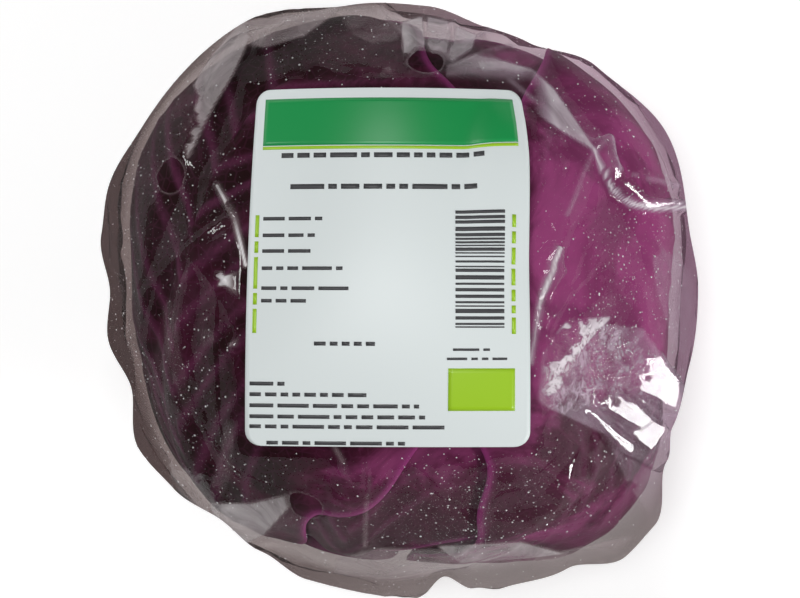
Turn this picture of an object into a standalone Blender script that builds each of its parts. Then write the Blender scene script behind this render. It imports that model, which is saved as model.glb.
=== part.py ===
"""A red cabbage head in its clear vented bag, with a blank paper label on top.

The head lies on its side: its crown points along +Y and its cut stalk along -Y. Everything is worked
out as a distance from the head's centre in each direction: the heart first, then each wrapper leaf laid
over what is under it, then the bag over them all, then the label. Metres, +Z up, and the origin is the
middle of the small flat spot that the bag rests on.
"""

import math

import bmesh
import bpy
import numpy as np
from mathutils import Matrix, Vector
from mathutils.bvhtree import BVHTree

MM = 0.001
TINY = 1e-6

# The head
CENTRE = np.array([0.0, 0.0, 58.8]) * MM  # of the head, above the rest spot
HEART_HALF_SIZE = np.array([59.6, 60.0, 52.4]) * MM
SQUARENESS = 2.25  # 2 would be an ellipsoid, and more is boxier
CROWN_LEAN = math.radians(12)  # of the crown towards +X
CROWN_RISE = math.radians(8)  # of the crown above the horizontal
LUMP = 0.9 * MM
LUMP_WAVES = (2.6, 3.1, 3.7, 2.0)  # radians of each lump's wave over the head's radius
LUMP_SHIFTS = (1.1, -0.4)
# Swells and hollows round the head: degrees from +X seen from above, and how proud in mm
SWELLS = ((63, -4.6), (197, -1.4), (33, 5.6), (147, 4.8), (219, 4.8), (279, 3.4), (312, 4.6))
SWELL_HALF_ANGLE = 0.38
STALK_RADIUS = 13.0 * MM
STALK_REACH = 65.0 * MM  # from the head's centre to the cut
STALK_NECK = (math.radians(1), math.radians(8))  # past the stalk's rim, where the head's first two rings lie
CROWN_BARE = math.radians(30)  # of the heart round the crown, which the wrapper leaves leave in sight
CROWN_LEAF_STEP = 1.4 * MM  # of each inner leaf that shows round the crown
CROWN_LEAVES = ((40, 74), (172, 60), (-68, 44), (110, 30), (-10, 20))  # degrees: side it comes from, reach

# The wrapper leaves, from the innermost out
LEAF_THICKNESS = 0.8 * MM
LEAF_GAP = 0.8 * MM  # between one leaf and the next
LEAF_AZIMUTHS = (137, 0, -138, 86, -50)  # degrees round the stalk from straight up, towards +X
LEAF_MIDDLE = math.radians(82)  # from the crown to the leaf's middle
LEAF_HALF_WIDTHS = (1.16, 1.20, 1.22, 1.20, 1.27)  # radians from the leaf's middle to its side
LEAF_TIPS = (1.30, 1.26, 1.10, 1.06, 1.14)  # radians from the leaf's middle to its tip
LEAF_BASE = 1.47  # radians from the leaf's middle to where it meets the stalk
LEAF_SHOULDER = 1.14  # radians down to the blade beside the base
BASE_SPREAD = math.radians(19)
WAVES = ((5, 0.040), (8, 0.026), (13, 0.012))  # of the margin: how many, how deep in radians
EDGE_LIFT = 1.0 * MM
EDGE_SHARE = 0.80  # of the way out, where the margin starts to lift
EDGE_START = (0.2, 0.5)  # of the way from the stalk to the tip, over which the margin comes free
RIB_HEIGHT = 2.7 * MM
RIB_HALF_WIDTH = 4.5 * MM
RIB_LENGTH = 0.8  # of the way to the tip
RIB_TAPER = 1.15
LOOSE_LEAF = 3  # counted from 0, which stands off the head near its foot
LOOSE_PLACE = (0.10, -0.76)  # radians across and along from that leaf's middle
LOOSE_LIFT = 6.0 * MM
LOOSE_SPREAD = 0.36
LEAST_GAP = 0.65 * MM  # between any two layers
SETTLE_ROUNDS = 6
SETTLED = 0.01 * MM
LEAF_SPAN = 0.04  # radians that a leaf spans to each side
COVER_MARGIN = 0.05  # radians past a leaf's edge where the next one is still held up
COVER_FALL = 0.14  # radians over which it then settles

# The bag
FILM_THICKNESS = 0.6 * MM
FILM_GAP = 0.3 * MM
FILM_SPAN = 0.07  # radians that the film spans to each side
STALK_CLEAR = 1.03  # of the stalk's reach, where the film passes its cut end
STALK_TENT = (math.radians(13), math.radians(32))  # from the stalk's axis, over which the film comes down
TANGENTS = (0.5, 0.985)  # least and most share of the rim's radius that the leaves reach
REST_HALF_ANGLE = math.radians(16)  # of the flat spot, seen from the head's centre
REST_BLEND = math.radians(34)
RIM_DROP = 11.0 * MM  # of the bag's edge below the head's centre
FLAP_DROP = 24.0 * MM  # of the welded end of the bag
FLAP_MIDDLE = math.radians(285)
FLAP_HALF_ANGLE = math.radians(60)
# The bag's edge seen from above: degrees from +X, and its distance from the head's centre in mm
RIM = (
    (0, 74.0), (10, 73.2), (30, 76.4), (48, 73.2), (62, 68.4), (72, 67.8), (84, 69.8), (100, 70.6),
    (120, 75.6), (148, 74.6), (160, 75.8), (170, 74.5), (181, 71.2), (190, 72.8), (200, 70.4),
    (212, 75.5), (222, 74.5), (233, 72.2), (243, 73.8), (252, 76.0), (273, 77.4), (279, 72.3),
    (284, 76.6), (289, 78.6), (301, 81.0), (310, 87.0), (317, 86.4), (327, 79.0), (333, 76.0),
    (345, 74.4),
)
HOLE_RADIUS = 4.0 * MM
# The punched vent holes: where they look from the head's centre, as degrees from +X and above the horizontal
HOLES = ((83, 42), (154, 33), (247, 38), (12, -32), (118, -38), (205, -40), (300, -44))

# The label
LABEL_SIZE = (62.0 * MM, 80.0 * MM)
LABEL_CENTRE = (-2.2 * MM, 4.2 * MM)
LABEL_TURN = math.radians(-0.2)
LABEL_CORNER = 3.5 * MM
LABEL_THICKNESS = 0.4 * MM
LABEL_GAP = 0.5 * MM
LABEL_TILT = 0.02  # its rise towards +X
LABEL_TOP = 61.0 * MM  # of the film under the label's middle, above the head's centre
LABEL_PITCH = -0.06  # its rise towards +Y
LABEL_BENDS = (50.0 * MM, 400.0 * MM, 105.0 * MM)  # radii across at its top end and at its foot, and along
TENT = 24.0 * MM  # of film that the label's edge holds off the leaves
TENT_START = 1.5 * MM  # past the label's edge
LEAST_RISE = 0.2  # of the directions that can meet the label
LABEL_STEPS = 8

# Facets
HEART_SEGMENTS, HEART_RINGS = 40, 24
LEAF_SPOKES, LEAF_RINGS = 40, 7
SPOKE_CROWDING = 0.25  # of the spokes towards the midrib
FILM_SEGMENTS, FILM_RINGS = 54, 24
RIM_RING = 13  # counted from the top
HOLE_SIDES = 16
CUTTER_DEPTH = 16 * MM
CROWN_RINGS = 2 / 3  # of the way round from the stalk, past which the rings crowd to the crown
LABEL_CELLS = (8, 10)


def unit(v):
    return v / np.linalg.norm(v, axis=-1, keepdims=True)


def smooth(low, high, x):
    """0 below low, 1 above high and an easy curve between."""
    t = np.clip((x - low) / (high - low), 0.0, 1.0)
    return t * t * (3.0 - 2.0 * t)


# The head's own axes: towards the crown, and the two across it that look up and towards +X
CROWN = np.array([
    math.sin(CROWN_LEAN) * math.cos(CROWN_RISE),
    math.cos(CROWN_LEAN) * math.cos(CROWN_RISE),
    math.sin(CROWN_RISE),
])
UP = unit(np.array([0.0, 0.0, 1.0]) - CROWN[2] * CROWN)
SIDE = np.cross(CROWN, UP)
WAYS = unit(np.array([w for w in np.ndindex(3, 3, 3) if w != (1, 1, 1)]) - 1.0)


def heart_radius(d):
    """A rounded box, a little lumpy and swollen, without the stalk and with no leaf edges."""
    box = (np.abs(d / HEART_HALF_SIZE) ** SQUARENESS).sum(-1) ** (-1.0 / SQUARENESS)
    x, y, z = d[..., 0], d[..., 1], d[..., 2]
    along_x, along_y, along_z, aslant = LUMP_WAVES
    lumps = np.sin(along_x * x + LUMP_SHIFTS[0]) * np.cos(along_y * y + LUMP_SHIFTS[1])
    lumps = lumps + np.sin(along_z * z + aslant * x)
    radius = box + LUMP / 2 * lumps
    for degrees, proud in SWELLS:
        way = np.array([math.cos(math.radians(degrees)), math.sin(math.radians(degrees)), 0.0])
        away = np.arccos(np.clip(d @ way, -1.0, 1.0))
        radius = radius + proud * MM * np.exp(-((away / SWELL_HALF_ANGLE) ** 2))
    return radius


def leaf_axes(azimuth_deg, from_crown):
    """A leaf's middle, its way across and its way towards the crown."""
    a = math.radians(azimuth_deg)
    out = math.cos(a) * UP + math.sin(a) * SIDE
    middle = math.cos(from_crown) * CROWN + math.sin(from_crown) * out
    along = math.sin(from_crown) * CROWN - math.cos(from_crown) * out
    return middle, np.cross(along, middle), along


def leaf_place(leaf, d):
    """How far each direction is from the leaf's middle, and on which side of it."""
    middle, across, along = leaf_axes(LEAF_AZIMUTHS[leaf], LEAF_MIDDLE)
    away = np.arccos(np.clip(d @ middle, -1.0, 1.0))
    return away, np.arctan2(d @ along, d @ across)


def leaf_outline(leaf, side):
    """A round blade with a waved margin and a tongue down to the stalk."""
    length = np.where(np.sin(side) > 0.0, LEAF_TIPS[leaf], LEAF_SHOULDER)
    blade = 1.0 / np.sqrt((np.cos(side) / LEAF_HALF_WIDTHS[leaf]) ** 2 + (np.sin(side) / length) ** 2)
    off_base = np.abs(np.angle(np.exp(1j * (side + math.pi / 2))))
    tongue = np.exp(-((off_base / BASE_SPREAD) ** 2))
    waves = sum(deep * np.sin(count * side + 1.7 * leaf + count) for count, deep in WAVES)
    return blade + (1.0 - tongue) * waves + tongue * (LEAF_BASE - LEAF_SHOULDER)


def leaf_relief(leaf, away, side):
    """The midrib's ridge, the lift of the margin and the loose place, above a leaf's own bed."""
    size = HEART_HALF_SIZE[0]
    across, along = away * np.cos(side) * size, away * np.sin(side)
    toward_tip = np.clip((along + LEAF_BASE) / (LEAF_BASE + RIB_LENGTH * LEAF_TIPS[leaf]), 0.0, 1.0)
    half_width = RIB_HALF_WIDTH * (RIB_TAPER - toward_tip)
    rib = RIB_HEIGHT * (1.0 - toward_tip) * np.exp(-((across / half_width) ** 2))
    share = away / leaf_outline(leaf, side)
    lift = EDGE_LIFT * smooth(EDGE_SHARE, 1.0, share) * smooth(*EDGE_START, toward_tip)
    aside = np.hypot(away * np.cos(side) - LOOSE_PLACE[0], away * np.sin(side) - LOOSE_PLACE[1])
    loose = LOOSE_LIFT * np.exp(-((aside / LOOSE_SPREAD) ** 2)) * (leaf == LOOSE_LEAF)
    return rib + lift + loose


def stack_radius(d, leaves_under):
    """The heart and the first few leaves over it, each smoothed past its own edge."""
    radius = heart_radius(d) + LEAF_GAP
    for leaf in range(leaves_under):
        away, side = leaf_place(leaf, d)
        cover = 1.0 - smooth(COVER_MARGIN, COVER_MARGIN + COVER_FALL, away - leaf_outline(leaf, side))
        radius = radius + cover * (LEAF_THICKNESS + LEAF_GAP + leaf_relief(leaf, away, side))
    return radius


def leaf_radius(d, leaf):
    """A leaf's inner face, with its own rib and lifted margin."""
    return stack_radius(d, leaf) + leaf_relief(leaf, *leaf_place(leaf, d))


def spanned(surface, d, span):
    """A stiff sheet over a surface spans from one high place to the next: it is as far out as any nearby."""
    radius = surface(d)
    for way in WAYS:
        radius = np.maximum(radius, surface(unit(d + span * way)))
    return radius


def label_bend(y):
    """The radius that the label is bent to across its width: tight at its top end, slack at its foot."""
    toward_top = np.clip(0.5 + y / LABEL_SIZE[1], 0.0, 1.0)
    return 1.0 / (toward_top / LABEL_BENDS[0] + (1.0 - toward_top) / LABEL_BENDS[1])


def label_height(x, y):
    """The film's height under the label, above the head's centre, as a sheet bent both ways."""
    x, y = x - LABEL_CENTRE[0], y - LABEL_CENTRE[1]
    drop = x * x / (2.0 * label_bend(y)) + y * y / (2.0 * LABEL_BENDS[2])
    return LABEL_TOP + LABEL_TILT * x + LABEL_PITCH * y - drop


def label_radius(d):
    """Where each upward direction meets that sheet, by stepping towards it."""
    up = np.maximum(d[..., 2], LEAST_RISE)
    radius = np.full(d.shape[:-1], LABEL_TOP)
    for _ in range(LABEL_STEPS):
        radius = (radius + label_height(radius * d[..., 0], radius * d[..., 1]) / up) / 2
    return radius


def label_hold(d, radius):
    """1 where the film is stuck to the label, falling to 0 a little way past its edge."""
    x = np.abs(radius * d[..., 0] - LABEL_CENTRE[0]) - LABEL_SIZE[0] / 2
    y = np.abs(radius * d[..., 1] - LABEL_CENTRE[1]) - LABEL_SIZE[1] / 2
    past = np.hypot(np.maximum(x, 0.0), np.maximum(y, 0.0)) - TENT_START
    return np.clip(1.0 - past / TENT, 0.0, 1.0) ** 2 * (d[..., 2] > LEAST_RISE)


def rim_distance(turn):
    """The bag's edge seen from above, joined smoothly from point to point."""
    degrees = np.array([p[0] for p in RIM], float)
    distance = np.array([p[1] for p in RIM], float) * MM
    at = np.degrees(turn) % 360.0
    degrees, distance = np.append(degrees, 360.0), np.append(distance, distance[0])
    n = np.clip(np.searchsorted(degrees, at, side="right") - 1, 0, len(degrees) - 2)
    share = (at - degrees[n]) / (degrees[n + 1] - degrees[n])
    return distance[n] + (distance[n + 1] - distance[n]) * smooth(0.0, 1.0, share)


def rim_polar(turn):
    """How far down from straight up the bag's edge lies: the welded flap hangs lower."""
    off = np.abs(np.angle(np.exp(1j * (turn - FLAP_MIDDLE))))
    flap = 1.0 - smooth(0.6 * FLAP_HALF_ANGLE, FLAP_HALF_ANGLE, off)
    drop = RIM_DROP + (FLAP_DROP - RIM_DROP) * flap
    return math.pi / 2 + np.arctan2(drop, rim_distance(turn))


def directions(polar, turn):
    return np.stack([np.sin(polar) * np.cos(turn), np.sin(polar) * np.sin(turn), np.cos(polar)], -1)


def leaves_reach(d):
    """The film's closest approach: clear of every leaf and of the cut end of the stalk."""
    radius = stack_radius(d, len(LEAF_AZIMUTHS))
    off_stalk = np.arccos(np.clip(-(d @ CROWN), -1.0, 1.0))
    near = 1.0 - smooth(*STALK_TENT, off_stalk)
    return radius + np.maximum(STALK_REACH * STALK_CLEAR - radius, 0.0) * near


def film_inner_radius(d):
    """The bag's inner face: on the leaves, drawn out to its edge, held up by the label and flat under."""
    polar, turn = np.arccos(np.clip(d[..., 2], -1.0, 1.0)), np.arctan2(d[..., 1], d[..., 0])
    on_leaves = spanned(leaves_reach, d, FILM_SPAN) + FILM_GAP
    rim_at = rim_polar(turn)
    rim_radius = rim_distance(turn) / np.sin(rim_at)
    leaves_at_rim = spanned(leaves_reach, directions(rim_at, turn), FILM_SPAN) + FILM_GAP
    tangent = np.arccos(np.clip(leaves_at_rim / rim_radius, *TANGENTS))
    pull = np.clip(1.0 - np.abs(polar - rim_at) / tangent, 0.0, 1.0) ** 2
    radius = on_leaves + np.maximum(rim_radius - leaves_at_rim, 0.0) * pull
    under_label = label_radius(d)
    radius = radius + np.maximum(under_label - radius, 0.0) * label_hold(d, under_label)
    from_below = math.pi - polar
    flat = (CENTRE[2] - FILM_THICKNESS) / np.maximum(-d[..., 2], 0.5)
    down = 1.0 - smooth(REST_HALF_ANGLE, REST_BLEND, from_below)
    return radius + (flat - radius) * down


def film_outer_radius(d):
    """One thickness out, and level with the surface it rests on at the flat spot."""
    radius = film_inner_radius(d) + FILM_THICKNESS
    at_rest = np.arccos(np.clip(-d[..., 2], -1.0, 1.0)) <= REST_HALF_ANGLE
    return np.where(at_rest, CENTRE[2] / np.maximum(-d[..., 2], 0.5), radius)


def material(name, colour, roughness, alpha=1.0):
    m = bpy.data.materials.new(name)
    m.use_nodes = True
    shader = m.node_tree.nodes["Principled BSDF"]
    shader.inputs["Base Color"].default_value = (*colour, 1.0)
    shader.inputs["Roughness"].default_value = roughness
    shader.inputs["Metallic"].default_value = 0.0
    shader.inputs["Alpha"].default_value = alpha
    return m


def face_outwards(bm):
    """Turns the faces the same way, and away from the head's centre."""
    bmesh.ops.recalc_face_normals(bm, faces=bm.faces)
    if sum(f.normal.dot(f.calc_center_median()) for f in bm.faces) < 0.0:
        bmesh.ops.reverse_faces(bm, faces=bm.faces)


def add_object(name, bm, collection, surface):
    face_outwards(bm)
    mesh = bpy.data.meshes.new(name)
    bm.to_mesh(mesh)
    bm.free()
    mesh.shade_smooth()
    mesh.materials.append(surface)
    obj = bpy.data.objects.new(name, mesh)
    obj.location = Vector(CENTRE)
    collection.objects.link(obj)
    return obj


def globe(segments, rings):
    """A unit sphere, with each vertex's polar angle and turn."""
    bm = bmesh.new()
    bmesh.ops.create_uvsphere(bm, u_segments=segments, v_segments=rings, radius=1.0)
    points = np.array([v.co for v in bm.verts])
    return bm, np.arccos(np.clip(points[:, 2], -1.0, 1.0)), np.arctan2(points[:, 1], points[:, 0])


def place(bm, points):
    for vertex, point in zip(bm.verts, points):
        vertex.co = Vector(point)


def crown_relief(d):
    """Steps down at the edges of the inner leaves, which show where the wrappers leave the crown bare."""
    depth = np.zeros(d.shape[:-1])
    for azimuth, reach in CROWN_LEAVES:
        middle, across, along = leaf_axes(azimuth, math.radians(reach) / 2)
        away = np.arccos(np.clip(d @ middle, -1.0, 1.0))
        side = np.arctan2(d @ along, d @ across)
        edge = math.radians(reach) * (0.8 + 0.05 * np.sin(5 * side + azimuth))
        depth = depth + CROWN_LEAF_STEP * smooth(edge - 0.03, edge + 0.03, away)
    near_crown = 1.0 - smooth(CROWN_BARE, 2 * CROWN_BARE, np.arccos(np.clip(d @ CROWN, -1.0, 1.0)))
    return depth * near_crown


def face_points(points, faces):
    """The corners, middles and edge middles of a mesh's faces, with the face that each belongs to."""
    spots, owners = [], []
    for number, face in enumerate(faces):
        corners = points[list(face)]
        spots.append(corners.mean(0))
        spots.extend(corners)
        spots.extend((corners + np.roll(corners, 1, axis=0)) / 2)
        owners.extend([number] * (1 + 2 * len(corners)))
    return np.array(spots), owners


def settle(points, faces, under, gap):
    """Lays a sheet over the pieces under it: lifts its corners until all of its faces clear them all."""
    for _ in range(SETTLE_ROUNDS):
        lift = np.zeros(len(points))
        sheet = BVHTree.FromPolygons([Vector(p) for p in points], faces)
        spots, owners = face_points(points, faces)
        for spot, owner in zip(spots, owners):
            reach = np.linalg.norm(spot)
            way = spot / reach
            for _, tree in under:
                hit = tree.ray_cast(Vector(way * 2 * reach), Vector(-way), 1.2 * reach)[0]
                if hit is not None:
                    short = hit.length + gap - reach
                    lift[faces[owner]] = np.maximum(lift[faces[owner]], short)
        for spots, _ in under:
            for spot in spots:
                reach = np.linalg.norm(spot)
                hit, _, owner, _ = sheet.ray_cast(Vector((0, 0, 0)), Vector(spot / reach))
                if hit is not None:
                    short = reach + gap - hit.length
                    lift[faces[owner]] = np.maximum(lift[faces[owner]], short)
        if lift.max() < SETTLED:
            break
        reach = np.linalg.norm(points, axis=1)
        points = points * ((reach + lift) / reach)[:, None]
    return points


def as_under(obj):
    """A finished piece with its thickness, ready to have the next sheet laid over it."""
    bpy.context.view_layer.update()
    mesh = obj.evaluated_get(bpy.context.evaluated_depsgraph_get()).to_mesh()
    points, faces = np.array([v.co for v in mesh.vertices]), [list(f.vertices) for f in mesh.polygons]
    return face_points(points, faces)[0], BVHTree.FromPolygons([Vector(p) for p in points], faces)


def lay_over(bm, points, under, gap):
    """Places a sheet's corners and settles it over what is there."""
    place(bm, points)
    bmesh.ops.triangulate(bm, faces=bm.faces)
    bm.verts.index_update()
    points = settle(points, [[v.index for v in f.verts] for f in bm.faces], under, gap)
    place(bm, points)
    return points


def make_heart(collection, surface):
    """The tight inner head and its cut stalk, grown as one."""
    bm, polar, turn = globe(HEART_SEGMENTS, HEART_RINGS)
    # The rings nearest the stalk are drawn in to its rim and its foot, and a third of them crowd to the crown
    step = math.pi / HEART_RINGS
    rim = math.atan(STALK_RADIUS / STALK_REACH)
    from_stalk = np.interp(
        math.pi - polar,
        [0.0, step, 2 * step, 3 * step, math.pi * CROWN_RINGS, math.pi],
        [0.0, rim, rim + STALK_NECK[0], rim + STALK_NECK[1], math.pi - CROWN_BARE, math.pi],
    )
    polar = math.pi - from_stalk
    out = np.cos(turn)[:, None] * UP + np.sin(turn)[:, None] * SIDE
    d = np.cos(polar)[:, None] * CROWN + np.sin(polar)[:, None] * out
    radius = heart_radius(d) - crown_relief(d)
    on_stalk = from_stalk <= rim + TINY
    radius = np.where(on_stalk, STALK_REACH / np.maximum(np.cos(from_stalk), 0.5), radius)
    place(bm, d * radius[:, None])
    return as_under(add_object("heart", bm, collection, surface))


def make_leaf(leaf, collection, surface, under):
    """A wrapper leaf: a cap of a sphere opened out to the leaf's outline and laid over what is there."""
    bm, polar, turn = globe(LEAF_SPOKES, 2 * LEAF_RINGS)
    kept = polar <= math.pi / 2 + TINY
    below = [v for v, keep in zip(bm.verts, kept) if not keep]
    bmesh.ops.delete(bm, geom=below, context="VERTS")
    share = polar[kept] / (math.pi / 2)
    side = turn[kept] + SPOKE_CROWDING * np.sin(2 * turn[kept])
    middle, across, along = leaf_axes(LEAF_AZIMUTHS[leaf], LEAF_MIDDLE)
    away = share * leaf_outline(leaf, side)
    out = np.cos(side)[:, None] * across + np.sin(side)[:, None] * along
    d = np.cos(away)[:, None] * middle + np.sin(away)[:, None] * out
    radius = spanned(lambda way: leaf_radius(way, leaf), d, LEAF_SPAN)
    lay_over(bm, d * radius[:, None], under, LEAST_GAP)
    obj = add_object(f"wrapper_leaf_{leaf + 1}", bm, collection, surface)
    thickness = obj.modifiers.new("thickness", "SOLIDIFY")
    thickness.thickness = LEAF_THICKNESS
    thickness.offset = 1.0
    return as_under(obj)


def hole_cutter(number, collection):
    """A short rod through the film, pointing at the head's centre."""
    turn, rise = (math.radians(a) for a in HOLES[number])
    d = directions(np.array(math.pi / 2 - rise), np.array(turn))
    bm = bmesh.new()
    bmesh.ops.create_cone(
        bm, cap_ends=True, segments=HOLE_SIDES, radius1=HOLE_RADIUS, radius2=HOLE_RADIUS, depth=CUTTER_DEPTH
    )
    mesh = bpy.data.meshes.new(f"hole_{number + 1}")
    bm.to_mesh(mesh)
    bm.free()
    rod = bpy.data.objects.new(f"hole_{number + 1}", mesh)
    middle = CENTRE + d * (film_inner_radius(d) + FILM_THICKNESS / 2)
    rod.matrix_world = Matrix.Translation(middle) @ Vector(d).to_track_quat("Z", "Y").to_matrix().to_4x4()
    rod.hide_render = True
    rod.display_type = "WIRE"
    collection.objects.link(rod)
    return rod


def make_bag(collection, cutters, surface, under):
    """The bag: an outer and an inner face, opened to each other by the vent holes."""
    bm, polar, turn = globe(FILM_SEGMENTS, FILM_RINGS)
    rim_at = rim_polar(turn)
    ring = polar * FILM_RINGS / math.pi
    polar = np.where(
        ring <= RIM_RING,
        rim_at * ring / RIM_RING,
        rim_at + (math.pi - rim_at) * (ring - RIM_RING) / (FILM_RINGS - RIM_RING),
    )
    d = directions(polar, turn)
    inside = lay_over(bm, d * film_inner_radius(d)[:, None], under, LEAST_GAP)
    lift = np.linalg.norm(inside, axis=1) - film_inner_radius(d)
    place(bm, d * (film_outer_radius(d) + lift)[:, None])
    face_outwards(bm)
    outer = list(bm.verts)
    inner = bmesh.ops.duplicate(bm, geom=bm.verts[:] + bm.faces[:])
    bmesh.ops.reverse_faces(bm, faces=[g for g in inner["geom"] if isinstance(g, bmesh.types.BMFace)])
    pairs = inner["vert_map"]
    for vertex, point in zip(outer, inside):
        pairs[vertex].co = Vector(point)
    mesh = bpy.data.meshes.new("film_bag")
    bm.to_mesh(mesh)
    bm.free()
    mesh.shade_smooth()
    mesh.materials.append(surface)
    obj = bpy.data.objects.new("film_bag", mesh)
    obj.location = Vector(CENTRE)
    collection.objects.link(obj)
    layer = as_under(obj)
    for number in range(len(HOLES)):
        vent = obj.modifiers.new(f"vent_{number + 1}", "BOOLEAN")
        vent.operation = "DIFFERENCE"
        vent.object = hole_cutter(number, cutters)
    return layer


def rounded_corner(x, y):
    """Draws the corner of the label's grid in to a round one."""
    half_x, half_y = LABEL_SIZE[0] / 2, LABEL_SIZE[1] / 2
    if abs(x) > half_x - TINY and abs(y) > half_y - TINY:
        cut = LABEL_CORNER * (1.0 - math.sqrt(0.5))
        return math.copysign(half_x - cut, x), math.copysign(half_y - cut, y)
    return x, y


def spread(cells, half, corner):
    """Grid lines across a side, with one more where each rounded corner starts."""
    inner = np.linspace(-half + corner, half - corner, cells - 1)
    return np.concatenate([[-half], inner, [half]])


def make_label(collection, surface, film):
    """The paper label, stuck to the top of the bag and bent with it."""
    lines_x = spread(LABEL_CELLS[0], LABEL_SIZE[0] / 2, LABEL_CORNER)
    lines_y = spread(LABEL_CELLS[1], LABEL_SIZE[1] / 2, LABEL_CORNER)
    bm = bmesh.new()
    bmesh.ops.create_grid(bm, x_segments=LABEL_CELLS[0], y_segments=LABEL_CELLS[1], size=1.0)
    points = []
    for vertex in bm.verts:
        column = round((vertex.co.x + 1.0) / 2.0 * LABEL_CELLS[0])
        row = round((vertex.co.y + 1.0) / 2.0 * LABEL_CELLS[1])
        x, y = rounded_corner(lines_x[column], lines_y[row])
        x = label_bend(y) * math.sin(x / label_bend(y))
        y = LABEL_BENDS[2] * math.sin(y / LABEL_BENDS[2])
        points.append((
            LABEL_CENTRE[0] + x * math.cos(LABEL_TURN) - y * math.sin(LABEL_TURN),
            LABEL_CENTRE[1] + x * math.sin(LABEL_TURN) + y * math.cos(LABEL_TURN),
        ))
    flat = np.array(points)
    d = unit(np.stack([flat[:, 0], flat[:, 1], label_height(flat[:, 0], flat[:, 1])], -1))
    points = d * (label_radius(d) + FILM_THICKNESS + LABEL_GAP)[:, None]
    lay_over(bm, points, [film], LABEL_GAP)
    obj = add_object("label", bm, collection, surface)
    thickness = obj.modifiers.new("thickness", "SOLIDIFY")
    thickness.thickness = LABEL_THICKNESS
    thickness.offset = 1.0
    return obj


def main():
    for obj in list(bpy.data.objects):
        bpy.data.objects.remove(obj)
    parts = bpy.data.collections.new("red_cabbage")
    cutters = bpy.data.collections.new("cutters")
    for collection in (parts, cutters):
        bpy.context.scene.collection.children.link(collection)
    heart = material("heart", (0.16, 0.02, 0.09), 0.5)
    leaf = material("leaf", (0.09, 0.02, 0.06), 0.45)
    film = material("film", (0.82, 0.82, 0.82), 0.1, alpha=0.3)
    paper = material("paper", (0.86, 0.89, 0.90), 0.4)
    layers = [make_heart(parts, heart)]
    for number in range(len(LEAF_AZIMUTHS)):
        layers.append(make_leaf(number, parts, leaf, layers))
    bag = make_bag(parts, cutters, film, layers)
    make_label(parts, paper, bag)


main()
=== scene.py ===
"""The looks of a packed red cabbage: waxy leaves, a clear creased bag with drops on it, and a blank label.

Every surface is a distance from the head's centre, worked out for each direction d by the same layering
as the solids: the heart, each wrapper leaf over what is under it, the film over them all, and the label.
Metres, +Z up. The crown points along +Y, leaning a little to +X, and the cut stalk along -Y.
"""

from math import atan, cos, hypot, pi, radians, sin

import bpy
import numpy as np
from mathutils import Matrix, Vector


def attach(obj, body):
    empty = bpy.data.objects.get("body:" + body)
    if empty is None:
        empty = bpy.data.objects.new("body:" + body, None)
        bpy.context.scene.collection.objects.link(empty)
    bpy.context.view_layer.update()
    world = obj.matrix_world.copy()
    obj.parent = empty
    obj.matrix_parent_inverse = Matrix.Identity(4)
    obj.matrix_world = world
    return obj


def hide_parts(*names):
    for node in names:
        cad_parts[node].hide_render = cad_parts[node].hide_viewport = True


MM = 0.001
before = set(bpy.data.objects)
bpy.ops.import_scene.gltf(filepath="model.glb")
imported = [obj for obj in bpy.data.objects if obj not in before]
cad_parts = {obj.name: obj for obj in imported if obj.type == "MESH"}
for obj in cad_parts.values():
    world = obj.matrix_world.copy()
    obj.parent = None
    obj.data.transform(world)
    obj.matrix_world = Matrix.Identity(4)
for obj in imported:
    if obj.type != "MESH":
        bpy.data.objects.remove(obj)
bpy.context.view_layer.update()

# The head, as in the solids
CENTRE = np.array([0.0, 0.0, 58.8]) * MM
HEART_HALF_SIZE = np.array([59.6, 60.0, 52.4]) * MM
SQUARENESS = 2.25
CROWN_LEAN = radians(12)
CROWN_RISE = radians(8)
LUMP = 0.9 * MM
SWELLS = ((63, -4.6), (197, -1.4), (33, 5.6), (147, 4.8), (219, 4.8), (279, 3.4), (312, 4.6))
SWELL_HALF_ANGLE = 0.38
STALK_RADIUS = 13.0 * MM
STALK_REACH = 65.0 * MM
CROWN_LEAF_STEP = 1.4 * MM
CROWN_FADE = (radians(30), radians(60))
NECK_ROUND = radians(2.0)
# The inner leaves at the crown: degrees round its axis, and degrees that they reach down from it
CROWN_LEAVES = ((40, 74), (172, 60), (-68, 44), (110, 30), (-10, 20))

# The wrapper leaves, as in the solids, from the innermost out
LEAF_THICKNESS = 0.8 * MM
LEAF_GAP = 0.8 * MM
LEAF_SPAN = 0.04
LEAF_AZIMUTHS = (137, 0, -138, 86, -50)
LEAF_MIDDLE = radians(82)
LEAF_HALF_WIDTHS = (1.16, 1.20, 1.22, 1.20, 1.27)
LEAF_TIPS = (1.30, 1.26, 1.10, 1.06, 1.14)
LEAF_BASE = 1.47
LEAF_SHOULDER = 1.14
BASE_SPREAD = radians(19)
WAVES = ((5, 0.040), (8, 0.026), (13, 0.012))
EDGE_LIFT = 1.0 * MM
EDGE_SHARE = 0.80
RIB_HEIGHT = 2.7 * MM
RIB_HALF_WIDTH = 4.5 * MM
RIB_END = 0.8
RIB_TAPER = 1.15
LIFT_RISE = (0.2, 0.5)
LOOSE_LEAF = 3
LOOSE_PLACE = (0.10, -0.76)
LOOSE_LIFT = 6.0 * MM
LOOSE_SPREAD = 0.36
COVER_MARGIN = 0.05
COVER_FALL = 0.14

# The bag, as in the solids
FILM_THICKNESS = 0.6 * MM
FILM_GAP = 0.3 * MM
FILM_SPAN = 0.07
STALK_CLEARANCE = 1.03
STALK_COVER = (radians(13), radians(32))
REST_HALF_ANGLE = radians(16)
REST_BLEND = radians(34)
RIM_DROP = 11.0 * MM
FLAP_DROP = 24.0 * MM
FLAP_MIDDLE = radians(285)
FLAP_HALF_ANGLE = radians(60)
FLAP_LEVEL = 0.6
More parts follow.
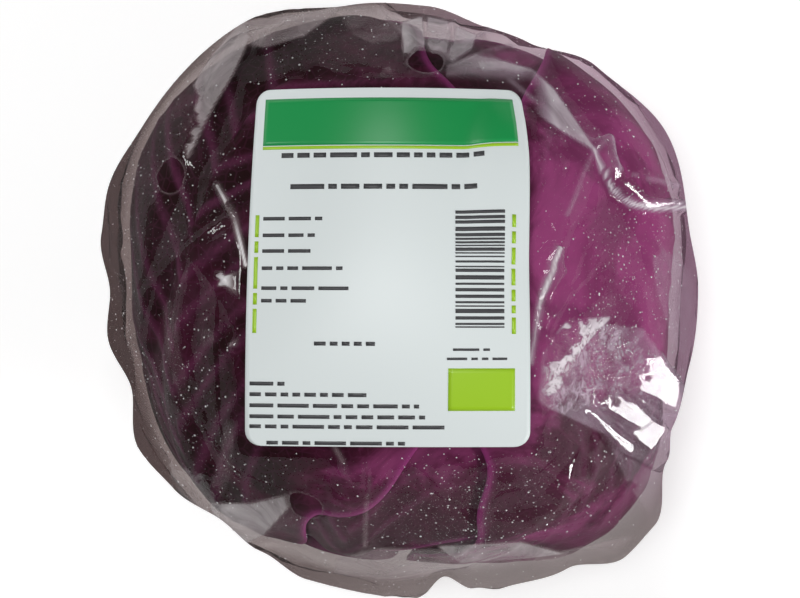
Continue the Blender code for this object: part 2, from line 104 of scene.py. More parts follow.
# The bag's edge seen from above: degrees from +X, and its distance from the head's centre in mm
RIM = (
    (0, 74.0), (10, 73.2), (30, 76.4), (48, 73.2), (62, 68.4), (72, 67.8), (84, 69.8), (100, 70.6),
    (120, 75.6), (148, 74.6), (160, 75.8), (170, 74.5), (181, 71.2), (190, 72.8), (200, 70.4),
    (212, 75.5), (222, 74.5), (233, 72.2), (243, 73.8), (252, 76.0), (273, 77.4), (279, 72.3),
    (284, 76.6), (289, 78.6), (301, 81.0), (310, 87.0), (317, 86.4), (327, 79.0), (333, 76.0),
    (345, 74.4),
)
HOLE_RADIUS = 4.0 * MM
HOLES = ((83, 42), (154, 33), (247, 38), (12, -32), (118, -38), (205, -40), (300, -44))

# The label, as in the solids
LABEL_SIZE = (62.0 * MM, 80.0 * MM)
LABEL_CENTRE = (-2.2 * MM, 4.2 * MM)
LABEL_TURN = radians(-0.2)
LABEL_CORNER = 3.5 * MM
LABEL_TOP = 61.0 * MM
LABEL_TILT = 0.02
LABEL_PITCH = -0.06
LABEL_BENDS = (50.0 * MM, 400.0 * MM, 105.0 * MM)
TENT = 24.0 * MM
LABEL_ABOVE = 0.35 * MM
LABEL_THICKNESS = 0.3 * MM
LEAST_RISE = 0.2

CAMERA_PLACE = np.array([0.4, -2.9, 671.0]) * MM
CAMERA_LENS = 113.6

# Each lamp's place, its two sizes in metres and its power in watts
LAMPS = {
    "overhead": ((-0.12, 0.02, 1.50), (0.35, 0.35), 8.9),
    "ceiling": ((-0.10, 0.75, 1.10), (0.35, 0.25), 2.6),
    "window": ((0.74, -0.46, 0.34), (0.11, 0.22), 4.4),
    "card": ((-0.80, 0.25, 0.60), (0.16, 0.16), 1.8),
}

rng = np.random.default_rng(8)


def unit(v):
    return v / np.linalg.norm(v, axis=-1, keepdims=True)


WAYS = unit(np.array([w for w in np.ndindex(3, 3, 3) if w != (1, 1, 1)]) - 1.0)
CROWN = np.array([
    sin(CROWN_LEAN) * cos(CROWN_RISE),
    cos(CROWN_LEAN) * cos(CROWN_RISE),
    sin(CROWN_RISE),
])
UP = unit(np.array([0.0, 0.0, 1.0]) - CROWN[2] * CROWN)
SIDE = np.cross(CROWN, UP)


def clamp(x):
    """Kept from 0 to 1."""
    return np.clip(x, 0.0, 1.0)


def smooth(low, high, x):
    """0 below low, 1 above high and an easy curve between."""
    t = clamp((x - low) / (high - low))
    return t * t * (3.0 - 2.0 * t)


def fade(low, high, x):
    """1 below low, 0 above high and an easy curve between."""
    return 1.0 - smooth(low, high, x)


def bell(x):
    """1 at 0, falling off on both sides as e to the power of minus x squared."""
    return np.exp(-(x**2))


def angle(cosine):
    return np.arccos(np.clip(cosine, -1.0, 1.0))


def turns(count):
    """Even steps round a full turn."""
    return np.arange(count) * 2 * pi / count


def swing(turn, first, second):
    """A direction turned from the first of two square ones towards the second."""
    return np.cos(turn)[..., None] * first + np.sin(turn)[..., None] * second


def heart_radius(d):
    """A rounded box, a little lumpy, with two flat places."""
    box = (np.abs(d / HEART_HALF_SIZE) ** SQUARENESS).sum(-1) ** (-1.0 / SQUARENESS)
    x, y, z = np.moveaxis(d, -1, 0)
    lumps = np.sin(2.6 * x + 1.1) * np.cos(3.1 * y - 0.4) + np.sin(3.7 * z + 2.0 * x)
    radius = box + LUMP * 0.5 * lumps
    for degrees, proud in SWELLS:
        way = np.array([cos(radians(degrees)), sin(radians(degrees)), 0.0])
        away = angle(d @ way)
        radius = radius + proud * MM * bell(away / SWELL_HALF_ANGLE)
    return radius


def leaf_axes(azimuth_deg, from_crown):
    """A leaf's middle, its way across and its way towards the crown."""
    a = radians(azimuth_deg)
    out = cos(a) * UP + sin(a) * SIDE
    middle = cos(from_crown) * CROWN + sin(from_crown) * out
    along = sin(from_crown) * CROWN - cos(from_crown) * out
    return middle, np.cross(along, middle), along


def leaf_place(leaf, d):
    """How far each direction is from the leaf's middle, and on which side of it."""
    middle, across, along = leaf_axes(LEAF_AZIMUTHS[leaf], LEAF_MIDDLE)
    away = angle(d @ middle)
    return away, np.arctan2(d @ along, d @ across)


def leaf_outline(leaf, side):
    """A round blade with a waved margin and a tongue down to the stalk."""
    length = np.where(np.sin(side) > 0.0, LEAF_TIPS[leaf], LEAF_SHOULDER)
    blade = 1.0 / np.sqrt((np.cos(side) / LEAF_HALF_WIDTHS[leaf]) ** 2 + (np.sin(side) / length) ** 2)
    off_base = np.abs(np.angle(np.exp(1j * (side + pi / 2))))
    tongue = bell(off_base / BASE_SPREAD)
    waves = sum(deep * np.sin(count * side + 1.7 * leaf + count) for count, deep in WAVES)
    return blade + (1.0 - tongue) * waves + tongue * (LEAF_BASE - LEAF_SHOULDER)


def leaf_relief(leaf, away, side):
    """The midrib's ridge and the lift of the margin, above a leaf's own bed."""
    size = HEART_HALF_SIZE[0]
    across, along = away * np.cos(side) * size, away * np.sin(side)
    toward_tip = clamp((along + LEAF_BASE) / (LEAF_BASE + RIB_END * LEAF_TIPS[leaf]))
    half_width = RIB_HALF_WIDTH * (RIB_TAPER - toward_tip)
    rib = RIB_HEIGHT * (1.0 - toward_tip) * bell(across / half_width)
    share = away / leaf_outline(leaf, side)
    lift = EDGE_LIFT * smooth(EDGE_SHARE, 1.0, share) * smooth(*LIFT_RISE, toward_tip)
    aside = np.hypot(away * np.cos(side) - LOOSE_PLACE[0], away * np.sin(side) - LOOSE_PLACE[1])
    loose = LOOSE_LIFT * bell(aside / LOOSE_SPREAD) * (leaf == LOOSE_LEAF)
    return rib + lift + loose


def stack_radius(d, leaves_under):
    """The heart and the first few leaves over it, each smoothed past its own edge."""
    radius = heart_radius(d) + LEAF_GAP
    for leaf in range(leaves_under):
        away, side = leaf_place(leaf, d)
        cover = fade(COVER_MARGIN, COVER_MARGIN + COVER_FALL, away - leaf_outline(leaf, side))
        radius = radius + cover * (LEAF_THICKNESS + LEAF_GAP + leaf_relief(leaf, away, side))
    return radius


def leaf_radius(d, leaf):
    """A leaf's inner face, with its own rib and lifted margin."""
    return stack_radius(d, leaf) + leaf_relief(leaf, *leaf_place(leaf, d))


def spanned(surface, d, span):
    """A stiff sheet over a surface spans from one high place to the next: it is as far out as any nearby."""
    radius = surface(d)
    for way in WAYS:
        radius = np.maximum(radius, surface(unit(d + span * way)))
    return radius


def label_bend(y):
    """The radius that the label is bent to across its width: tight at its top end, slack at its foot."""
    toward_top = clamp(0.5 + y / LABEL_SIZE[1])
    return 1.0 / (toward_top / LABEL_BENDS[0] + (1.0 - toward_top) / LABEL_BENDS[1])


def label_height(x, y):
    """The film's height under the label, above the head's centre, as a sheet bent both ways."""
    x, y = x - LABEL_CENTRE[0], y - LABEL_CENTRE[1]
    drop = x * x / (2.0 * label_bend(y)) + y * y / (2.0 * LABEL_BENDS[2])
    return LABEL_TOP + LABEL_TILT * x + LABEL_PITCH * y - drop


def label_radius(d):
    """Where each upward direction meets that sheet, by stepping towards it."""
    up = np.maximum(d[..., 2], LEAST_RISE)
    radius = np.full(d.shape[:-1], LABEL_TOP)
    for _ in range(8):
        radius = 0.5 * radius + 0.5 * label_height(radius * d[..., 0], radius * d[..., 1]) / up
    return radius


def past_label(x, y):
    """How far a place seen from above is outside the label's edge."""
    x = np.abs(x - LABEL_CENTRE[0]) - LABEL_SIZE[0] / 2
    y = np.abs(y - LABEL_CENTRE[1]) - LABEL_SIZE[1] / 2
    return np.hypot(np.maximum(x, 0.0), np.maximum(y, 0.0))


def rim_distance(turn):
    """The bag's edge seen from above, joined smoothly from point to point."""
    degrees, distance = np.array((*RIM, (360.0, RIM[0][1]))).T
    distance = distance * MM
    at = np.degrees(turn) % 360.0
    n = np.clip(np.searchsorted(degrees, at, side="right") - 1, 0, len(degrees) - 2)
    share = (at - degrees[n]) / (degrees[n + 1] - degrees[n])
    return distance[n] + (distance[n + 1] - distance[n]) * smooth(0.0, 1.0, share)


def rim_polar(turn):
    """How far down from straight up the bag's edge lies: the welded flap hangs lower."""
    off = np.abs(np.angle(np.exp(1j * (turn - FLAP_MIDDLE))))
    flap = fade(FLAP_LEVEL * FLAP_HALF_ANGLE, FLAP_HALF_ANGLE, off)
    drop = RIM_DROP + (FLAP_DROP - RIM_DROP) * flap
    return pi / 2 + np.arctan2(drop, rim_distance(turn))


def directions(polar, turn):
    return np.stack([np.sin(polar) * np.cos(turn), np.sin(polar) * np.sin(turn), np.cos(polar)], -1)


def leaves_reach(d):
    """The film's closest approach: clear of every leaf and of the cut end of the stalk."""
    radius = stack_radius(d, len(LEAF_AZIMUTHS))
    off_stalk = angle(-(d @ CROWN))
    near = fade(*STALK_COVER, off_stalk)
    return radius + np.maximum(STALK_REACH * STALK_CLEARANCE - radius, 0.0) * near


# The film between its holds: flat facets with sharp edges, then ridges, then the creases that show first

RIM_ROUND = 0.008
# The slack that the facets take up, and how far past the label the film is held, then slack, then free
SLACK = 2.2 * MM
HELD = 1.5 * MM
FREE = (1.0 * MM, 5.0 * MM)
# A direction that rises less than this is past the label, whatever its place
STEEPEST = 0.3
# Angles from the bag's edge and from straight down, within which the ridges are low
CALM_RIM = 0.30
CALM_REST = (0.30, 0.62)
# The least cosine that the distance to a facet's plane, or to any other plane, is divided by
FACET_ASLANT = 0.6
PLANE_ASLANT = 0.3
FACETS = 190
FACET_PROUD = (0.1 * MM, 1.0 * MM)
RIDGES = 260
RIDGE_HEIGHTS = (0.12 * MM, 0.75 * MM)
RIDGE_WIDTHS = (0.8 * MM, 5.0 * MM)
RIDGE_REACHES = (5.0 * MM, 26.0 * MM)
# Creases in sight from above: both ends in mm from the head's centre, then height, half width and paleness.
# The paleness is a painted highlight line along the crease's top
CREASES = (
    (20.7, 54.8, 46.9, 33.2, 1.3, 6.0, 0.25),
    (46.9, 33.2, 51.8, 23.3, 0.9, 2.4, 0.5), (51.8, 23.3, 59.1, 19.4, 0.9, 2.2, 0.5),
    (59.1, 19.4, 69.7, 19.1, 0.8, 2.0, 0.5),
    (46.4, 33.2, 36.8, 9.0, 0.9, 3.5, 0.25),
    (36.5, 9.0, 33.6, -5.1, 1.0, 2.0, 0.9), (33.6, -5.1, 31.9, -18.2, 0.9, 1.8, 0.7),
    (-43.0, 24.0, -39.5, 17.5, 0.9, 1.6, 0.9), (-39.5, 17.5, -36.7, 5.3, 0.9, 1.6, 1.0),
    (-36.9, 64.7, -50.7, 31.7, 1.5, 5.0, 0.15), (-35.5, 58.0, -16.5, 66.0, 1.2, 3.5, 0.2),
    (-21.4, -50.9, -36.0, -62.5, 1.3, 4.5, 0.15),
    (-7.6, -43.1, -8.0, -61.3, 0.7, 1.4, 0.35), (-15.4, -38.3, -10.5, -46.8, 0.7, 1.4, 0.35),
    (-4.0, 66.5, -1.5, 62.0, 0.8, 1.5, 0.4), (-1.5, 62.0, 6.5, 56.0, 0.8, 1.8, 0.4),
    (1.5, 62.5, 4.5, 55.5, 0.8, 1.6, 0.4), (14.5, 66.0, 9.5, 55.5, 0.8, 1.8, 0.4),
    (22.0, 61.5, 11.5, 54.0, 0.8, 1.8, 0.4), (27.0, 57.5, 12.5, 52.0, 0.8, 1.8, 0.3),
    (54.5, 27.0, 68.0, 24.0, 0.8, 2.0, 0.3),
)
# How wide the painted highlight line on a crease is, in mm
CREST_WIDTH = 0.60
# Flat panes of film that throw a lamp's light straight up: the lamp, how pale (a painted highlight), how far
# off the film they may stand in mm, and their corners, x and y in turn, in mm as above
PANES = (
    ("window", 0.3, 4.2, (44.8, -23.3, 48.9, -23.5, 55.2, -26.7, 58.6, -30.3, 55.2, -32.7, 50.3, -29.8,
        46.5, -26.7)),
    ("window", 0.3, 4.2, (55.2, -26.7, 58.6, -29.3, 65.4, -36.4, 62.7, -40.2, 58.8, -39.5, 54.2, -34.2)),
    ("window", 0.3, 4.2, (44.8, -29.1, 46.9, -29.8, 55.7, -37.1, 63.4, -41, 61, -42.7, 51.3, -37.3)),
    ("window", 0.3, 4.2, (54.2, -20.4, 61.5, -15.7, 63.4, -19.6, 68.3, -29.3, 66.3, -30.5, 60.5, -26.4,
        55.2, -23.5)),
    ("window", 0.1, 2.6, (35.5, 9.2, 37.5, 8.5, 38.5, 3.6, 36.5, 0.7, 35.1, -5.1, 33.6, -4.6, 34.6, 2.9)),
    ("window", 0.1, 2.6, (34.1, -5.6, 35.3, -6.1, 33.6, -14.1, 31.9, -18.7, 31.4, -15.3)),
    ("card", 0.85, 2.2, (-42.7, 2.7, -40.3, 1.9, -37.4, 4.1, -36.9, 1.7, -37.9, -2.4, -39.8, -0.2)),
    ("card", 0.85, 2.2, (-38.4, -8.5, -36.7, -9, -37.2, -14.3, -39.4, -14.1, -38.1, -12.4)),
    ("window", 0.2, 3.2, (46.5, 33.7, 47.9, 33.2, 49.4, 28.9, 52.3, 24.5, 50.8, 23.5, 48.2, 27.9)),
    ("window", 0.2, 3.2, (50.8, 23.5, 52.3, 24.5, 58.6, 20.6, 63.9, 19.9, 63.4, 18.7, 58.6, 18.7)),
    ("window", 0.2, 3.2, (63.9, 19.9, 70.2, 19.6, 70.2, 18.7, 63.4, 18.7)),
)
PANE_EDGE = 1.4
FOLD_EDGE = 0.8
PANE_PROUD = 0.1 * MM
# Pale patches: folds where the film lies in two layers, and some painted reflections and highlights, marked
# below. How pale, then the corners as above
PALE_FOLDS_AND_PAINTED_SHEENS = (
    # A pale band at the top right: painted reflection
    (0.66, (19.3, 54.1, 25.1, 54.1, 31.9, 52.1, 37.2, 47.3, 46.9, 33.2, 39.7, 37.6, 31.4, 43.4, 24.2, 47.3,
        20.8, 49.7)),
    (0.6, (-36.9, 64.7, -36, 59.9, -39.8, 51.6, -44.7, 43.4, -50.7, 31.3, -50.5, 37.6, -47.6, 45.8, -49,
        48.7, -44.7, 55.5)),
    (0.52, (-36, 63.8, -23.8, 65.5, -13.7, 67.2, -22.4, 60.9, -32.1, 57.9, -35.2, 58.4)),
    (0.66, (-24.6, -49.7, -26, -52.3, -32.6, -59.6, -37.7, -62, -42.7, -57, -45.2, -52.3, -35.5, -52.3)),
    # The next four: pale panels by the top hole, painted reflections
    (0.66, (0.9, 63.3, 5.5, 64.7, 6.2, 58.9, 5.5, 54.8, 3.6, 54.3, 1.6, 55.5)),
    (0.6, (7.2, 64.7, 11.8, 63.5, 12.5, 59.9, 10.8, 55, 8.6, 54.8, 7.2, 58.4)),
    (0.64, (14, 62.3, 18.3, 60.4, 17.4, 57.5, 13, 54.5, 11.6, 55, 13.2, 58.4)),
    (0.56, (12, 53.1, 18.6, 55.8, 23.9, 54.5, 29.5, 51.2, 23.9, 48.2, 15.4, 48.7, 11.8, 50.7)),
    (0.3, (1.6, 49.2, 0.4, 51.2, -2.5, 52.6, -4.4, 50.7, -1.5, 48.2)),
    (0.16, (-64.6, 38.1, -60.2, 46.3, -53.9, 51.6, -55.8, 46.3, -60.2, 40.5, -62.4, 32.7, -63.1, 25.5,
        -65.5, 21.1)),
    (0.2, (-14.1, 66.7, -9.3, 67.2, 0.4, 63.8, -0.1, 59.9, -6.4, 58.9, -11.2, 61.3)),
    (0.62, (10.1, -62.5, 29.5, -61.6, 39.2, -64.2, 29.5, -65.2, 14.9, -66.2)),
    # The next three: faint thin streaks on the left, painted reflections
    (0.1, (-56.3, -5.6, -54.9, -3.1, -52.9, -15.3, -49, -29.8, -50.5, -31.3, -54.4, -20.1)),
    (0.1, (-46.9, -10.4, -44.7, -10.9, -44.2, -20.6, -46.1, -21.6)),
    (0.12, (-41.3, -32.2, -39.8, -33.2, -40.3, -44.4, -42.7, -49.7, -44.7, -47.7, -42.3, -39.5)),
    (0.5, (-14.5, -65.5, -4, -63, 10, -63.5, 30, -66, 57, -60, 58, -64, 40, -69, 25, -72, 5, -75, -16,
        -70)),
    (0.74, (40.5, -8.5, 50.5, -7.5, 44.5, -14, 38, -25, 34, -26.5, 35, -16)),
    (0.26, (57.5, -37.5, 61.5, -41, 64, -50, 61, -55, 56, -48, 51, -37)),
    (0.36, (31.9, -20.1, 46.5, -9.2, 58.6, -10.4, 70.7, -27.4, 63.4, -39, 52, -36, 39.2, -30, 33, -27)),
    (0.18, (61, 11, 72, 2, 73, -22.5, 66, -12, 62.5, -1)),
    # The next three: two small stars left of the label and a glinting curve right of it, painted highlights
    (0.92, (-42.6, 3.3, -41.9, 2.3, -40.3, 2.7, -38.4, 3.5, -36.9, 5.1, -37.3, 3.5, -39.1, 1.9, -39.3, 0.8,
        -37.7, -1.4, -36.9, -3.9, -38.1, -2.2, -40.3, 0, -41.5, 0.7, -42.9, 0.6, -42.3, 1.8)),
    (0.78, (47.1, 33.1, 49, 29.1, 51.5, 24, 56, 20.6, 61.5, 19.2, 70.2, 19.3, 70.2, 19, 61.5, 18.6, 55.7,
        19.7, 51.1, 23.3, 48.7, 28.8, 46.9, 32.9)),
    (0.88, (-37, -6.5, -36.9, -9.9, -37.4, -12.3, -38.9, -13.9, -40.1, -14, -39.3, -13.3, -38.1, -12.1,
        -37.4, -10.4)),
    (0.1, (34, 38, 37, 37.5, 30.5, 12, 33, -3, 28, -6, 27, 9)),
)
# Where the film clings wet to the leaf and is clear: a middle and two half widths in mm, turn in degrees
CLINGS = (
    (48.5, 3.5, 3.2, 6.5, -20), (44.0, -5.0, 3.0, 6.0, -38), (38.5, -14.0, 3.0, 6.5, -52),
    (56.0, 24.5, 6.0, 3.0, -20), (58.0, 9.0, 7.0, 4.0, 30), (42.0, 14.0, 8.0, 3.5, 0),
    (-53.5, 36.0, 3.5, 9.0, -25), (-57.0, 30.0, 2.5, 8.0, 10), (-39.5, 12.5, 1.4, 9.0, 5),
    (-9.0, -46.0, 7.0, 5.0, 0), (6.0, -42.0, 8.0, 3.0, 10), (-45.0, -20.0, 4.0, 7.0, 20),
    (3.0, 52.0, 5.0, 3.5, 0), (-20.0, 50.0, 13.0, 4.0, 0), (55.0, -48.0, 2.5, 1.2, 20),
)
# How densely the film is gathered along its edge: degrees from +X, and the share of light it keeps back
# there. Then the angles from the edge over which that fades, on the leaves and off them, and how far off
GATHERED = (
    (0, 60, 120, 150, 200, 240, 285, 330, 360),
    (0.74, 0.72, 0.80, 0.95, 1.00, 0.85, 0.60, 0.62, 0.74),
)
GATHER_FADE = (0.30, 0.55)
LOOSE_FADE = (0.40, 0.75)
LOOSE_FROM = (0.4 * MM, 3.0 * MM)
# Where the film is crumpled small, as above
CRUMPLES = ((48.0, -18.0, 11.0, 9.0, -20), (40.0, -24.0, 7.0, 6.0, 0), (-50.0, -50.0, 8.0, 5.0, -40))
# How pale a facet, a ridge and the gathers are at most, and the share of it that the wet takes off. A facet's
# paleness is a painted sheen, different from facet to facet at random
FACET_SHEEN_MOST, RIDGE_HAZE, GATHER_HAZE = 0.03, 0.015, 0.08
WET_CLEARS = 0.9


def random_ways(count):
    return unit(rng.normal(size=(count, 3)))


def draw(low_high, count):
    return rng.uniform(*low_high, count)


FACET_WAYS = random_ways(FACETS)
FACET_LIFTS = draw(FACET_PROUD, FACETS)
FACET_SHEENS = FACET_SHEEN_MOST * rng.random(FACETS) ** 3
RIDGE_PLACES = random_ways(RIDGES) * HEART_HALF_SIZE[0] * 1.12
RIDGE_WAYS = unit(np.cross(RIDGE_PLACES, random_ways(RIDGES)))
RIDGE_SIZES = np.stack([draw(sizes, RIDGES) for sizes in (RIDGE_HEIGHTS, RIDGE_WIDTHS, RIDGE_REACHES)], -1)


def polar_and_turn(d):
    return angle(d[..., 2]), np.arctan2(d[..., 1], d[..., 0])


# The leaves' reach, worked out once every degree or two and read off between
TABLE_TURNS, TABLE_POLARS = 240, 120


def reach_table():
    polar = np.linspace(0.0, pi, TABLE_POLARS + 1)[:, None]
    turn = np.linspace(-pi, pi, TABLE_TURNS + 1)[None, :]
    d = directions(*np.broadcast_arrays(polar, turn))
    return spanned(leaves_reach, d, FILM_SPAN) + FILM_GAP


REACH = reach_table()


def read_reach(polar, turn):
    """Between four neighbours of the table, by how near each one is."""
    row = np.clip(polar / pi * TABLE_POLARS, 0.0, TABLE_POLARS - 1e-9)
    column = (np.angle(np.exp(1j * turn)) / pi + 1.0) / 2 * TABLE_TURNS
    column = np.clip(column, 0.0, TABLE_TURNS - 1e-9)
    i, j = row.astype(int), column.astype(int)
    u, v = row - i, column - j
    above = REACH[i, j] * (1 - v) + REACH[i, j + 1] * v
    below = REACH[i + 1, j] * (1 - v) + REACH[i + 1, j + 1] * v
    return above * (1 - u) + below * u


def seen(points):
    """Where a straight line from the camera through a place meets the level of the head's centre, in mm."""
    down = (CAMERA_PLACE[2] - CENTRE[2]) / (CAMERA_PLACE[2] - points[..., 2] - CENTRE[2])
    return ((points[..., :2] - CAMERA_PLACE[:2]) * down[..., None] + CAMERA_PLACE[:2]) / MM


def facet_radius(d):
    """Flat facets: the nearest of many planes, each set a little off the leaves. Also which plane it is."""
    nearest, which = np.full(len(d), 1.0), np.zeros(len(d), int)
    offsets = read_reach(*polar_and_turn(FACET_WAYS)) + FACET_LIFTS
    for number, (way, offset) in enumerate(zip(FACET_WAYS, offsets)):
        facing = d @ way
        reach = np.where(facing > FACET_ASLANT, offset / np.maximum(facing, FACET_ASLANT), 1.0)
        closer = reach < nearest
        nearest, which = np.where(closer, reach, nearest), np.where(closer, number, which)
    return nearest, which


def ridges(points):
    """Straight sharp ridges, each a tent across its own plane that fades out away from its own place."""
    height = np.zeros(len(points))
    for middle, across, (tall, wide, reach) in zip(RIDGE_PLACES, RIDGE_WAYS, RIDGE_SIZES):
        away = points - middle
        near = np.flatnonzero(np.abs(away @ across) < wide)
        away = away[near]
        tent = 1.0 - np.abs(away @ across) / wide
        height[near] += tall * tent * bell((away * away).sum(-1) / reach**2)
    return height


def from_segment(spot, x0, y0, x1, y1):
    """How far each seen place is from a straight line between two ends, in mm."""
    start, run = np.array([x0, y0]), np.array([x1 - x0, y1 - y0])
    share = clamp((spot - start) @ run / (run @ run))
    return np.linalg.norm(spot - start - share[:, None] * run, axis=-1)


def creases(spot, on_top):
    """A tent along each placed crease, and a thin pale line along its top, which is a painted highlight."""
    height, pale = np.zeros(len(spot)), np.zeros(len(spot))
    for x0, y0, x1, y1, tall, wide, paleness in CREASES:
        gap = from_segment(spot, x0, y0, x1, y1)
        height += tall * MM * clamp(1.0 - gap / wide) * on_top
        pale = np.maximum(pale, paleness * bell(gap / CREST_WIDTH) * on_top)
    return height, pale


def blots(spot, places):
    """1 inside any of several ellipses with wavering edges, 0 outside."""
    x, y = spot.T
    waver = 0.16 * np.sin(1.9 * x + 0.7 * y) + 0.12 * np.sin(0.9 * x - 2.3 * y)
    most = np.zeros(len(spot))
    for at_x, at_y, wide, tall, turn in places:
        a = radians(turn)
        u = (x - at_x) * cos(a) + (y - at_y) * sin(a)
        v = (y - at_y) * cos(a) - (x - at_x) * sin(a)
        most = np.maximum(most, fade(0.9, 1.05, np.hypot(u / wide, v / tall) + waver))
    return most


def inside(spot, corners):
    """Which seen places lie inside a polygon: an odd number of its sides passes above each."""
    odd = np.zeros(len(spot), bool)
    for (x0, y0), (x1, y1) in zip(corners, np.roll(corners, -1, axis=0)):
        if x0 == x1:
            continue
        between = (spot[:, 0] > min(x0, x1)) & (spot[:, 0] <= max(x0, x1))
        odd ^= between & (y0 + (spot[:, 0] - x0) * (y1 - y0) / (x1 - x0) > spot[:, 1])
    return odd


def film_bed(d):
    """The film before its panes: its radius, and what its looks are worked out from.

    It is on the leaves, drawn out straight to its edge and held up by the label. Between those holds
    it lies in facets, ridges and creases, which stand outwards from it.
    """
    polar, turn = polar_and_turn(d)
    on_leaves = read_reach(polar, turn)
    rim_at = rim_polar(turn)
    rim_radius = rim_distance(turn) / np.sin(rim_at)
    leaves_at_rim = read_reach(rim_at, turn)
    tangent = np.arccos(np.clip(leaves_at_rim / rim_radius, 0.5, 0.985))
    from_rim = np.sqrt((polar - rim_at) ** 2 + RIM_ROUND**2) - RIM_ROUND
    pull = clamp(1.0 - from_rim / tangent) ** 2
    under_label = label_radius(d)
    past = past_label(under_label * d[..., 0], under_label * d[..., 1])
    past = np.where(d[..., 2] > STEEPEST, past, 1.0)
    faceted, facet = facet_radius(d)
    free = smooth(*FREE, past)
    radius = on_leaves + np.clip(faceted - on_leaves, 0.0, SLACK) * free
    radius = radius + np.maximum(rim_radius - leaves_at_rim, 0.0) * pull
    hold = clamp(1.0 - (past - HELD) / TENT) ** 2
    radius = radius + np.maximum(under_label - radius, 0.0) * hold
    points = d * radius[:, None]
    spot = seen(points)
    on_top = smooth(0.0, 0.01, points[:, 2])
    off_rim = smooth(0.0, CALM_RIM, np.abs(polar - rim_at))
    off_rest = smooth(*CALM_REST, pi - polar)
    tents, crest_glint = creases(spot, on_top)
    raised = ridges(points) * off_rest + tents
    radius = radius + raised * free * (0.3 + 0.7 * off_rim)
    return radius, spot, on_top * free, crest_glint, raised, facet


def within(spot, corners, edge):
    """1 inside the corners, and down to 0 at a little way past their sides."""
    corners = np.array(corners, float).reshape(-1, 2)
    share = np.zeros(len(spot))
    low, high = corners.min(0) - edge, corners.max(0) + edge
    near = np.flatnonzero(((spot > low) & (spot < high)).all(-1))
    gap = np.full(len(near), 1e3)
    for start, end in zip(corners, np.roll(corners, -1, axis=0)):
        gap = np.minimum(gap, from_segment(spot[near], *start, *end))
    share[near] = np.where(inside(spot[near], corners), 1.0, fade(0.0, edge, gap))
    return share


def under_sight(spot):
    """The place on the film's bed under each seen place, found by stepping towards it."""
    flat = np.array(spot) * MM
    for _ in range(8):
        reach = np.sqrt(np.maximum(HEART_HALF_SIZE[0] ** 2 - (flat**2).sum(-1), (8 * MM) ** 2))
        d = unit(np.column_stack([flat, reach]))
        radius, at = film_bed(d)[:2]
        flat = flat + 0.8 * (np.array(spot) - at) * MM
    return d * radius[:, None]


def pane_planes():
    """Each pane's plane: tipped half way between its lamp and the camera, and clear of the film's bed."""
    planes = []
    for lamp, _, _, corners in PANES:
        corners = np.array(corners, float).reshape(-1, 2)
        middle = corners.mean(0)
        places = under_sight(np.concatenate([corners, (corners + middle) / 2, [middle]]))
        centre = places.mean(0)
        to_lamp = unit(np.array(LAMPS[lamp][0]) - CENTRE - centre)
        way = unit(to_lamp + unit(CAMERA_PLACE - CENTRE - centre))
        planes.append((way, (places @ way).max() + PANE_PROUD))
    return planes


PANE_PLANES = pane_planes()


def film(d):
    """The bag's outer face, and how pale, how crumpled, how densely gathered and how rosy it is. Its paleness
    holds painted highlights and reflections, and its rosy tint, lighter towards +X, is partly painted light.

    The bed, then the panes on it, kept inside the bag's edge as the camera sees it and flat at the foot.
    """
    bed, spot, on_top, crest_glint, raised, facet = film_bed(d)
    radius = bed
    polar, turn = polar_and_turn(d)
    rim_at = rim_polar(turn)
    folds_and_painted_sheen = np.zeros(len(d))
    for (_, paleness, most, corners), (way, offset) in zip(PANES, PANE_PLANES):
        share = within(spot, corners, PANE_EDGE) * on_top
        lift = share * np.clip(offset / np.maximum(d @ way, PLANE_ASLANT) - bed, 0.0, most * MM)
        radius = np.maximum(radius, bed + lift)
        # A pane's paleness is a painted highlight.
        folds_and_painted_sheen = np.maximum(folds_and_painted_sheen, share**3 * paleness)
    above_rim = np.maximum(radius * d[..., 2] + RIM_DROP, 0.0) / (CAMERA_PLACE[2] - CENTRE[2])
    widest = (rim_distance(turn) - FILM_THICKNESS) * (1.0 - above_rim)
    radius = np.minimum(radius, widest / np.maximum(np.sin(polar), PLANE_ASLANT))
    off_leaves = smooth(*LOOSE_FROM, radius - read_reach(polar, turn))
    spot = seen(d * radius[:, None])
    from_down = pi - polar
    fall = -d[..., 2]
    flat = (CENTRE[2] - FILM_THICKNESS) / np.maximum(fall, 0.5)
    down = fade(REST_HALF_ANGLE, REST_BLEND, from_down)
    radius = radius + (flat - radius) * down + FILM_THICKNESS
    floor = CENTRE[2] / np.maximum(fall, PLANE_ASLANT)
    radius = np.where(from_down <= REST_HALF_ANGLE, floor, radius)
    radius = np.where(fall > PLANE_ASLANT, np.minimum(radius, floor), radius)

    wet, crumple = (blots(spot, places) * on_top for places in (CLINGS, CRUMPLES))
    for paleness, corners in PALE_FOLDS_AND_PAINTED_SHEENS:
        folds_and_painted_sheen = np.maximum(folds_and_painted_sheen, within(spot, corners, FOLD_EDGE) * paleness * on_top)
    from_rim = np.abs(polar - rim_at)
    everywhere, loose = (fade(*reach, from_rim) for reach in (GATHER_FADE, LOOSE_FADE))
    gathered = np.maximum(everywhere, off_leaves * loose) * np.interp(np.degrees(turn) % 360.0, *GATHERED)
    pale = FACET_SHEENS[facet] * on_top + RIDGE_HAZE * clamp(raised / MM) ** 2
    pale = np.max([pale, folds_and_painted_sheen, crest_glint, GATHER_HAZE * gathered], axis=0) * (1.0 - WET_CLEARS * wet)
    # Rosier and lighter towards +X, less towards the foot: partly the leaf's colour under the film, partly
    # painted light.
    leaf_tint_and_painted_light = smooth(-20.0, 60.0, spot[:, 0]) * smooth(-62.0, -30.0, spot[:, 1])
    return radius, {"pale": pale, "crumple": crumple, "gathered": gathered, "leaf_tint_and_painted_light": leaf_tint_and_painted_light}


